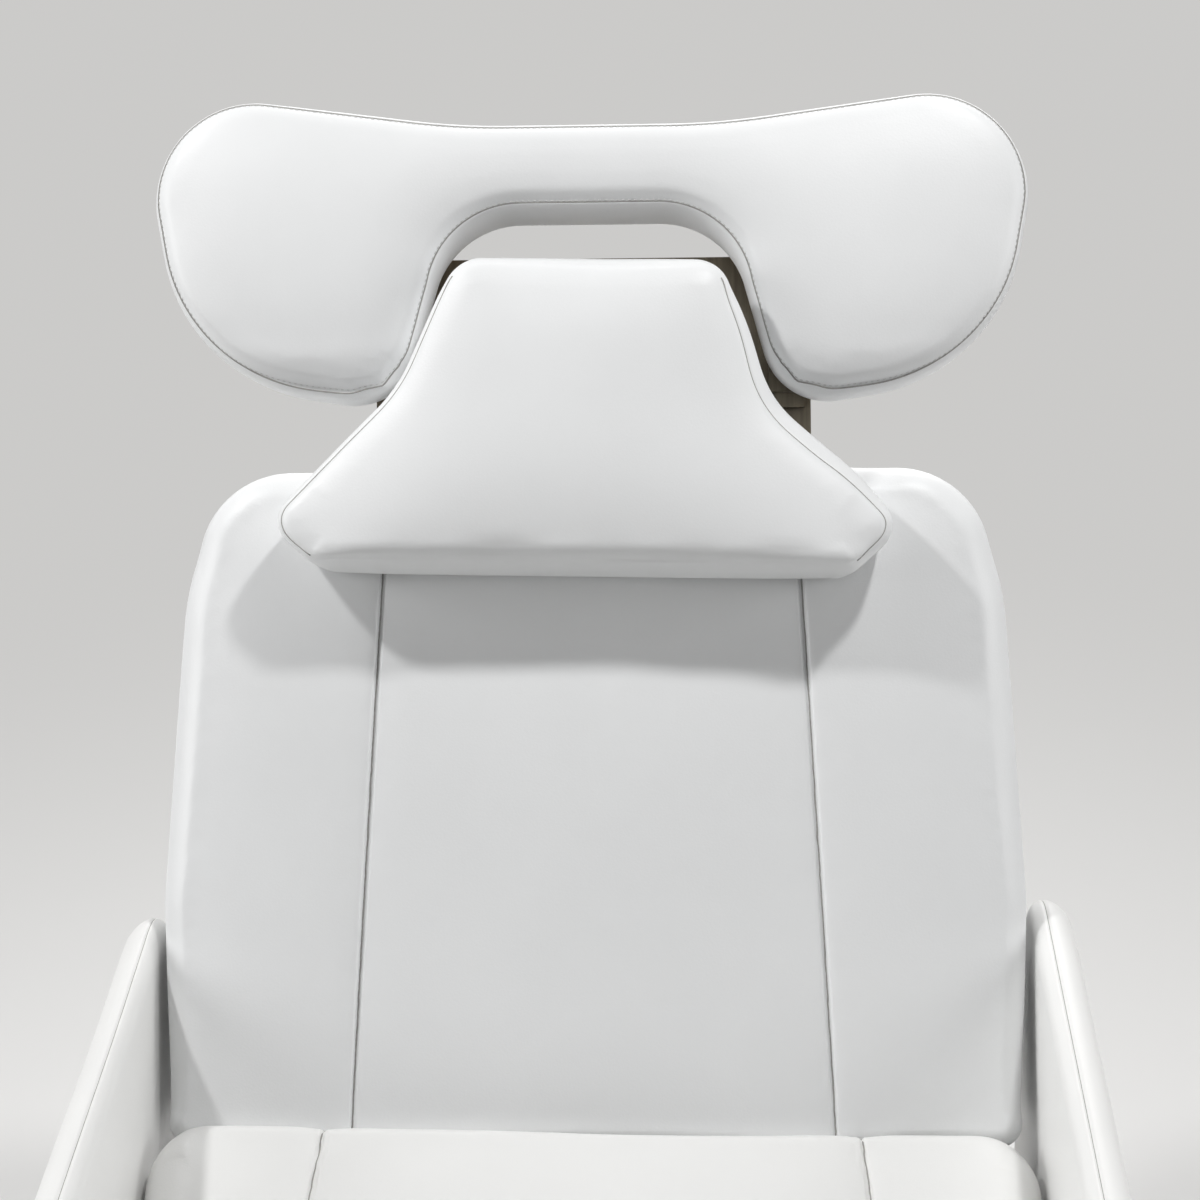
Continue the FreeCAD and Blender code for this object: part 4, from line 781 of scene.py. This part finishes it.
def make_pillow():
    def side_share(rim):
        """1 along the two sides, 0 along the top and the bottom."""
        upper = smooth_step((574 - rim[:, 1]) / 26)
        return upper * unit((rim[:, 1] - 366) / 14) * unit((np.abs(rim[:, 0]) - 74) / 8)

    def underside(rim):
        """Along the lower edge, away from its two ends."""
        return unit((200 - np.abs(rim[:, 0])) / 42) * (rim[:, 1] < 392)

    def shift(rim, inward, inset, depth):
        """The cover is twisted to the left, its right side is fuller, and its underside slopes back."""
        x, y = rim.T
        low = smooth_step(underside(rim))
        fold = low * unit((-depth - 3) / 44)
        aside = np.clip(x / 60, -1, 1)
        right = unit(aside)
        upper_right = smooth_step(unit((y - 470) / 90) * right)
        twist = side_share(rim) * (1 - low) * (0.3 + 0.7 * unit((y - 408) / 45))
        out = inset * (1 - 0.6 * fold) + 10.0 * fold
        out += twist * unit((-depth - 12) / 32) * (1.8 + 3.4 * aside) * (1 - upper_right)
        out += twist * unit((-depth - 37) / 9) * 4.6 * right * (1 - 0.3 * upper_right)
        fuller = 2.0 * np.exp(-((y - 530) / 30) ** 2) + 6.0 * np.exp(-((y - 438) / 32) ** 2)
        out -= fuller * side_share(rim) * right * unit((-depth - 2) / 20)
        head = unit(-inward[:, 1] * 1.4 - 0.3)
        return out + 4.0 * head * unit((-depth - 36) / 20)

    def lift(rim, inward, inset, depth):
        """The front stays level down to its lower fold, and rounds over at the top."""
        return 5.0 * underside(rim) * unit((-38 - depth) / 12)

    rear = -3.0
    profile = [(18.0, rear), (10.0, rear), (6.5, rear - 0.8), (4.6, rear - 4), (3.4, rear - 10),
               (2.2, rear - 18), (1.2, rear - 27), (0.5, rear - 33), (0.3, rear - 38), (0.7, rear - 41.5),
               (1.4, rear - 44.0), (2.0, rear - 45.4)]
    seam = len(profile)
    profile += [(2.8, rear - 46.2), (3.7, rear - 47.4), (4.9, rear - 48.7), (6.4, rear - 49.9),
                (8.6, rear - 51.2), (11.4, rear - 52.4), (14.8, rear - 53.4)]
    pad = Pad(PILLOW, pillow_place, profile, step=3.0, grid=6.5, crown=((2.5, 16.0), (6.0, 60.0)),
              shift=shift, lift=lift, ease=2.6)
    obj = pad.obj("pillow_cover", leather)
    ring = pad.ring
    strength = side_share(pad.rim)
    at = pad.on_ring(seam)
    pinned = ring <= 1
    pinned[at] = strength > 0.3
    inflate(obj, pinned, pressure=2.0, cap=4.0)
    smoothed(obj, ring > seam + 3, 14)
    tips = np.hypot(np.abs(pad.flat[:, 0]) - 192, pad.flat[:, 1] - 401) < 26
    smoothed(obj, (ring > seam + 2) & tips, 40)
    amount = np.zeros(len(pad.flat))
    amount[at] = 1.2 * strength
    for k in (seam - 1, seam + 1):
        amount[pad.on_ring(k)] = 0.3 * strength
    amount += 0.5 * waves(coords(obj), 0.11, 5) * (ring > seam + 2)
    fold = np.exp(-((pad.flat[:, 1] - 381) / 6) ** 2) * (ring >= seam)
    amount += fold * 0.8 * waves(coords(obj), 0.045, 8)
    press_in(obj, amount)
    line, up = coords(obj)[at], normals(obj)[at]
    subdivided(obj)
    finish_piece(obj, "carrier", "pillow_cushion")
    # a dark tube of painted shade along each run of the ring where the seam shows
    shown = strength > np.where(pad.rim[:, 1] > 480, 0.1, 0.5)
    order = np.roll(np.arange(pad.count), -int(np.nonzero(~shown)[0][0]))
    breaks = np.nonzero(np.diff(shown[order].astype(int)))[0] + 1
    runs = [run for run in np.split(order, breaks) if shown[run[0]]]
    for k, run in enumerate(runs):
        add_painted_seam_shade("pillow_seam_%d" % (k + 1), line[run], up[run], SEAM_RADIUS, "carrier")


# Broad cushions of the back, the seat and the leg rest

def rolled_profile(thick, roll, rear_inset, drop):
    """Side of a cushion from its rear edge, drawn in, out to its middle and over a rolled front edge."""
    profile = [(rear_inset + 10, thick), (rear_inset + 3, thick), (rear_inset, thick - 1.0)]
    roll_depth = roll * 0.92
    shoulder = drop + roll_depth
    for share in (0.12, 0.3, 0.5, 0.75, 1.0):
        profile.append((rear_inset * (1 - share) ** 2, thick - 1.5 - (thick - 1.5 - shoulder) * share))
    for angle in range(9, 91, 9):
        a = math.radians(angle)
        profile.append((roll * (1 - math.cos(a)), shoulder - roll_depth * math.sin(a)))
    return profile


# Cushions: rise of the crown, how far the rear edge is drawn in and shortest step of a tube of painted shade
# in a groove, in millimetres, and how tight the filling is
CUSHION_RISE = 5.0
REAR_INSET = 7.0
SHADE_TUBE_STEP = 0.8


def make_cushion(name, outline, place, thick, roll, columns, body, node, material, seed,
                 shift=None, lift=None):
    """Cushion with a rolled edge, and along each column a groove with a dark tube of painted shade in it."""
    profile = rolled_profile(thick, roll, REAR_INSET, CUSHION_RISE)
    pad = Pad(outline, place, profile, step=3.6, grid=7.5, columns=columns,
              crown=((CUSHION_RISE, 75.0),), shift=shift, lift=lift)
    obj = pad.obj(name, material)
    flat, ring = pad.flat, pad.ring
    near = np.full(len(flat), 1e9)
    for a, b in columns:
        near = np.minimum(near, np.abs(away_from_line(flat, a, b)))
    facing = ring >= 4
    pinned = (ring <= 2) | (near < 0.5) & facing
    inflate(obj, pinned, pressure=2.5, cap=5.0)
    press_in(obj, 0.5 * waves(coords(obj), 0.16, seed) * facing)
    groove = 1.9 * np.exp(-(near / 1.25) ** 2) + 1.3 * np.exp(-(near / 11.0) ** 2)
    press_in(obj, groove * facing)
    lines = []
    for a, b in columns:
        on = np.nonzero((np.abs(away_from_line(flat, a, b)) < 0.35) & (ring >= 6))[0]
        order = on[np.argsort(flat[on] @ (np.array(b, float) - np.array(a, float)))]
        lines.append((coords(obj)[order], normals(obj)[order]))
    subdivided(obj)
    finish_piece(obj, body, node)
    # in each groove a dark tube of painted shade
    for k, (line, up) in enumerate(lines):
        step = np.linalg.norm(np.diff(line, axis=0), axis=1)
        keep = np.concatenate([[True], step > SHADE_TUBE_STEP * MM])
        add_painted_seam_shade("%s_seam_%d" % (node, k + 1), line[keep], up[keep], PANEL_SEAM_RADIUS, body)


BACK = symmetric(
    [(255.6, 446.9), (280.0, 361.8), (292.0, 155.0), (284.0, -3.0)],
    [64.0, 160.0, 166.0, 17.0],
)
SEAT = symmetric([(292.0, 225.0), (292.0, -270.0)], [42.0, 60.0])
LEG = symmetric([(240.0, 365.0), (240.0, 75.0)], [50.0, 50.0])
BACK_SEAMS = [((s * 160.5, -8.0), (s * 136.0, 452.0)) for s in (-1, 1)]
SEAT_SEAMS = [((s * 200.0, -275.0), (s * 176.0, 230.0)) for s in (-1, 1)]
LEG_SEAMS = [((s * 150.0, 70.0), (s * 150.0, 370.0)) for s in (-1, 1)]


def foot_share(rim, inward):
    """1 along the back's foot, 0 elsewhere."""
    return unit((20 - rim[:, 1]) / 16) * unit(inward[:, 1])


def crisp_share(rim, inward):
    """How much less the back's edge is rolled: most along its foot and beside the arms."""
    beside_arms = smooth_step((330 - rim[:, 1]) / 260) * np.abs(inward[:, 0])
    return 0.35 + 0.15 * np.maximum(foot_share(rim, inward), beside_arms)


def fuller_foot(rim, inward, inset, depth):
    """The back's edge is rolled less, and its foot hangs lower."""
    lower = 7.0 * foot_share(rim, inward) * unit((66 - depth) / 12)
    return inset * (1 - crisp_share(rim, inward)) - lower


def crisp_edge(rim, inward, inset, depth):
    """The back's rolled edge starts nearer its front, by the same share."""
    roll = min(depth - CUSHION_RISE, 24.0) * unit((75 - depth) / 46)
    return crisp_share(rim, inward) * roll


def raised_rear(rim, inward, inset, depth):
    """The seat's rear edge stands higher, against the back, and most at its left end."""
    rear = smooth_step((rim[:, 1] - 120) / 90)
    left = unit((120 - rim[:, 0]) / 400)
    return (12.0 + 8.0 * left) * rear * unit((58 - depth) / 40)


def fuller_rear(rim, inward, inset, depth):
    """The seat's rear edge is rolled less, and stands further back."""
    rear = unit((rim[:, 1] - 200) / 20) * unit(-inward[:, 1])
    return inset * (1 - 0.25 * rear) - 3.0 * rear * unit((66 - depth) / 12)


# Arms

ARM = (
    [(-300.0, 368.0), (-300.0, 612.0), (371.0, 617.0), (347.0, 368.0)],
    [40.0, 70.0, 40.0, 40.0],
)
LEFT_ARM = (
    [(-300.0, 368.0), (-300.0, 612.0), (368.0, 612.0), (345.0, 368.0)],
    [40.0, 70.0, 52.0, 40.0],
)


def make_arm(side, outline, place, seed):
    """Cover of an arm, with its seam in a groove along the outer edge."""
    inner = [(18.0, 0.6), (14.3, 0.6), (11.0, 0.9), (8.0, 1.7), (5.2, 3.0), (3.0, 4.9), (1.4, 7.2),
             (0.6, 9.3)]
    outer = [(1.0, 10.4), (0.3, 11.6), (0.1, 15.0), (0.9, 18.8), (2.4, 21.8), (4.6, 24.6), (7.4, 26.8),
             (10.6, 28.0), (14.3, 28.4), (18.0, 28.4)]
    profile = (inner + outer)[::-1]
    seam = len(outer) - 1

    def shift(rim, inward, inset, depth):
        """The outer face falls away towards the upper rear corner."""
        corner = unit((rim[:, 0] - 270) / 90) * unit((rim[:, 1] - 500) / 90)
        return inset + 6.0 * smooth_step(corner) * unit((depth - 10.4) / 18) ** 1.3

    pad = Pad(outline, place, profile, step=3.6, grid=9.0, crown=((0.5, 30.0),), shift=shift, ease=0.4)
    obj = pad.obj("arm_cover_" + side, seat_leather)
    at = pad.on_ring(seam)
    amount = np.zeros(len(pad.flat))
    amount[at] = 1.0
    press_in(obj, amount)
    press_in(obj, 0.35 * waves(coords(obj), 0.15, seed))
    line, up = coords(obj)[at], normals(obj)[at]
    subdivided(obj)
    finish_piece(obj, "seat", "arm_pad_" + side)
    # a dark tube along the seam's groove, painted shade
    add_painted_seam_shade("arm_seam_" + side, line, up, SEAM_RADIUS, "seat", closed=True)


make_wing()
make_pillow()
make_cushion("back_leather", BACK, back_place, thick=75.0, roll=26.0, columns=BACK_SEAMS, body="back",
             node="back_cushion", material=leather, seed=21, shift=fuller_foot, lift=crisp_edge)
make_cushion("seat_cover", SEAT, seat_place, thick=75.0, roll=26.0, columns=SEAT_SEAMS, body="seat",
             node="seat_cushion", material=seat_leather, seed=22, shift=fuller_rear, lift=raised_rear)
make_cushion("leg_cover", LEG, leg_place, thick=60.0, roll=22.0, columns=LEG_SEAMS, body="leg",
             node="leg_cushion", material=seat_leather, seed=23)
make_arm("left", LEFT_ARM, left_arm_place, seed=12)
make_arm("right", ARM, right_arm_place, seed=11)


# Camera at the photograph's viewing angle, fitted to its outlines: degrees, metres and millimetres of lens

CAMERA_YAW = 2.72
CAMERA_PITCH = 27.97
CAMERA_ROLL = -1.66
CAMERA_SPOT = (0.0792, -1.1248, 1.6261)
CAMERA_LENS = 78.0
CAMERA_SENSOR = 36.0


def aim_camera():
    yaw, pitch, roll = (math.radians(angle) for angle in (CAMERA_YAW, CAMERA_PITCH, CAMERA_ROLL))
    forward = Vector((-math.sin(yaw) * math.cos(pitch), math.cos(yaw) * math.cos(pitch), -math.sin(pitch)))
    level = Vector((math.cos(yaw), math.sin(yaw), 0))
    upward = level.cross(forward)
    right = level * math.cos(roll) + upward * math.sin(roll)
    up = right.cross(forward)
    data = bpy.data.cameras.new("camera")
    data.sensor_width = CAMERA_SENSOR
    data.lens = CAMERA_LENS
    data.clip_start = 0.05
    camera = bpy.data.objects.new("camera", data)
    bpy.context.scene.collection.objects.link(camera)
    turn = Matrix((right, up, -forward)).transposed()
    camera.matrix_world = Matrix.Translation(CAMERA_SPOT) @ turn.to_4x4()
    bpy.context.scene.camera = camera


# Lamps: name, spot, point aimed at, width and power
LAMPS = (
    ("right_lamp", (0.72, 0.28, 2.60), (0, 0.35, 0.7), 0.16, 17.0),
    ("left_lamp", (-1.40, 0.28, 2.60), (0, 0.35, 0.7), 0.16, 21.0),
    ("left_side", (-2.6, -0.2, 1.5), (0, 0.1, 0.6), 1.6, 30.0),
    ("right_side", (2.6, -0.2, 1.5), (0, 0.1, 0.6), 1.6, 24.0),
    ("rear_fill", (0.3, 3.0, 2.2), (0, 0.0, 0.5), 2.4, 42.0),
)
WORLD_LIGHT = 0.10
BACKDROP = (0.60, 0.595, 0.585)
# Distances from the chair between which the floor fades into the backdrop, and half its width
FADE_START = 0.8
FADE_END = 2.2
FLOOR_HALF = 14.0


def lamp(name, spot, aim, size, power):
    data = bpy.data.lights.new(name, "AREA")
    data.shape = "DISK"
    data.size = size
    data.energy = power
    obj = bpy.data.objects.new(name, data)
    obj.location = spot
    obj.rotation_euler = (Vector(aim) - Vector(spot)).to_track_quat("-Z", "Y").to_euler()
    bpy.context.scene.collection.objects.link(obj)


def fade_far(finish):
    """Far from the chair the floor shows one even pale colour to the camera."""
    tree = finish.node_tree
    nodes, links = tree.nodes, tree.links
    out = next(n for n in nodes if n.type == "OUTPUT_MATERIAL")
    place = nodes.new("ShaderNodeTexCoord")
    distance = nodes.new("ShaderNodeVectorMath")
    distance.operation = "LENGTH"
    links.new(place.outputs["Object"], distance.inputs[0])
    span = nodes.new("ShaderNodeMapRange")
    span.interpolation_type = "SMOOTHSTEP"
    span.inputs["From Min"].default_value = FADE_START
    span.inputs["From Max"].default_value = FADE_END
    links.new(distance.outputs["Value"], span.inputs["Value"])
    path = nodes.new("ShaderNodeLightPath")
    both = nodes.new("ShaderNodeMath")
    both.operation = "MULTIPLY"
    links.new(span.outputs["Result"], both.inputs[0])
    links.new(path.outputs["Is Camera Ray"], both.inputs[1])
    even = nodes.new("ShaderNodeEmission")
    even.inputs["Color"].default_value = (*BACKDROP, 1)
    mix = nodes.new("ShaderNodeMixShader")
    links.new(both.outputs[0], mix.inputs[0])
    links.new(nodes["Principled BSDF"].outputs[0], mix.inputs[1])
    links.new(even.outputs[0], mix.inputs[2])
    links.new(mix.outputs[0], out.inputs["Surface"])


def make_stage():
    floor_finish = surface("pale_floor", (0.80, 0.795, 0.785), 0.7, mottle=(1.5, 0.01), haze=(3.0, 0.04),
                           bumps=((300.0, (1, 1, 1), 0.0001, 0.1),), specular=0.2)
    fade_far(floor_finish)
    size = FLOOR_HALF
    floor = mesh_object("floor", [(-size, -size, 0), (size, -size, 0), (size, size, 0), (-size, size, 0)],
                        [[0, 1, 2, 3]], floor_finish, smooth=False)
    # the world lights the chair softly, and shows the backdrop to the camera and in reflections
    world = bpy.data.worlds.new("studio")
    bpy.context.scene.world = world
    world.use_nodes = True
    nodes, links = world.node_tree.nodes, world.node_tree.links
    nodes.clear()
    out = nodes.new("ShaderNodeOutputWorld")
    mix = nodes.new("ShaderNodeMixShader")
    for k, (color, strength) in enumerate((((1.0, 1.0, 1.0), WORLD_LIGHT), (BACKDROP, 1.0))):
        light = nodes.new("ShaderNodeBackground")
        light.inputs["Color"].default_value = (*color, 1)
        light.inputs["Strength"].default_value = strength
        links.new(light.outputs[0], mix.inputs[k + 1])
    path = nodes.new("ShaderNodeLightPath")
    rays = path.outputs["Is Camera Ray"]
    for kind in ("Is Glossy Ray", "Is Transmission Ray"):
        either = nodes.new("ShaderNodeMath")
        either.operation = "MAXIMUM"
        links.new(rays, either.inputs[0])
        links.new(path.outputs[kind], either.inputs[1])
        rays = either.outputs[0]
    links.new(rays, mix.inputs[0])
    links.new(mix.outputs[0], out.inputs["Surface"])
    for entry in LAMPS:
        lamp(*entry)


aim_camera()
make_stage()
bpy.context.scene.view_settings.view_transform = "Standard"
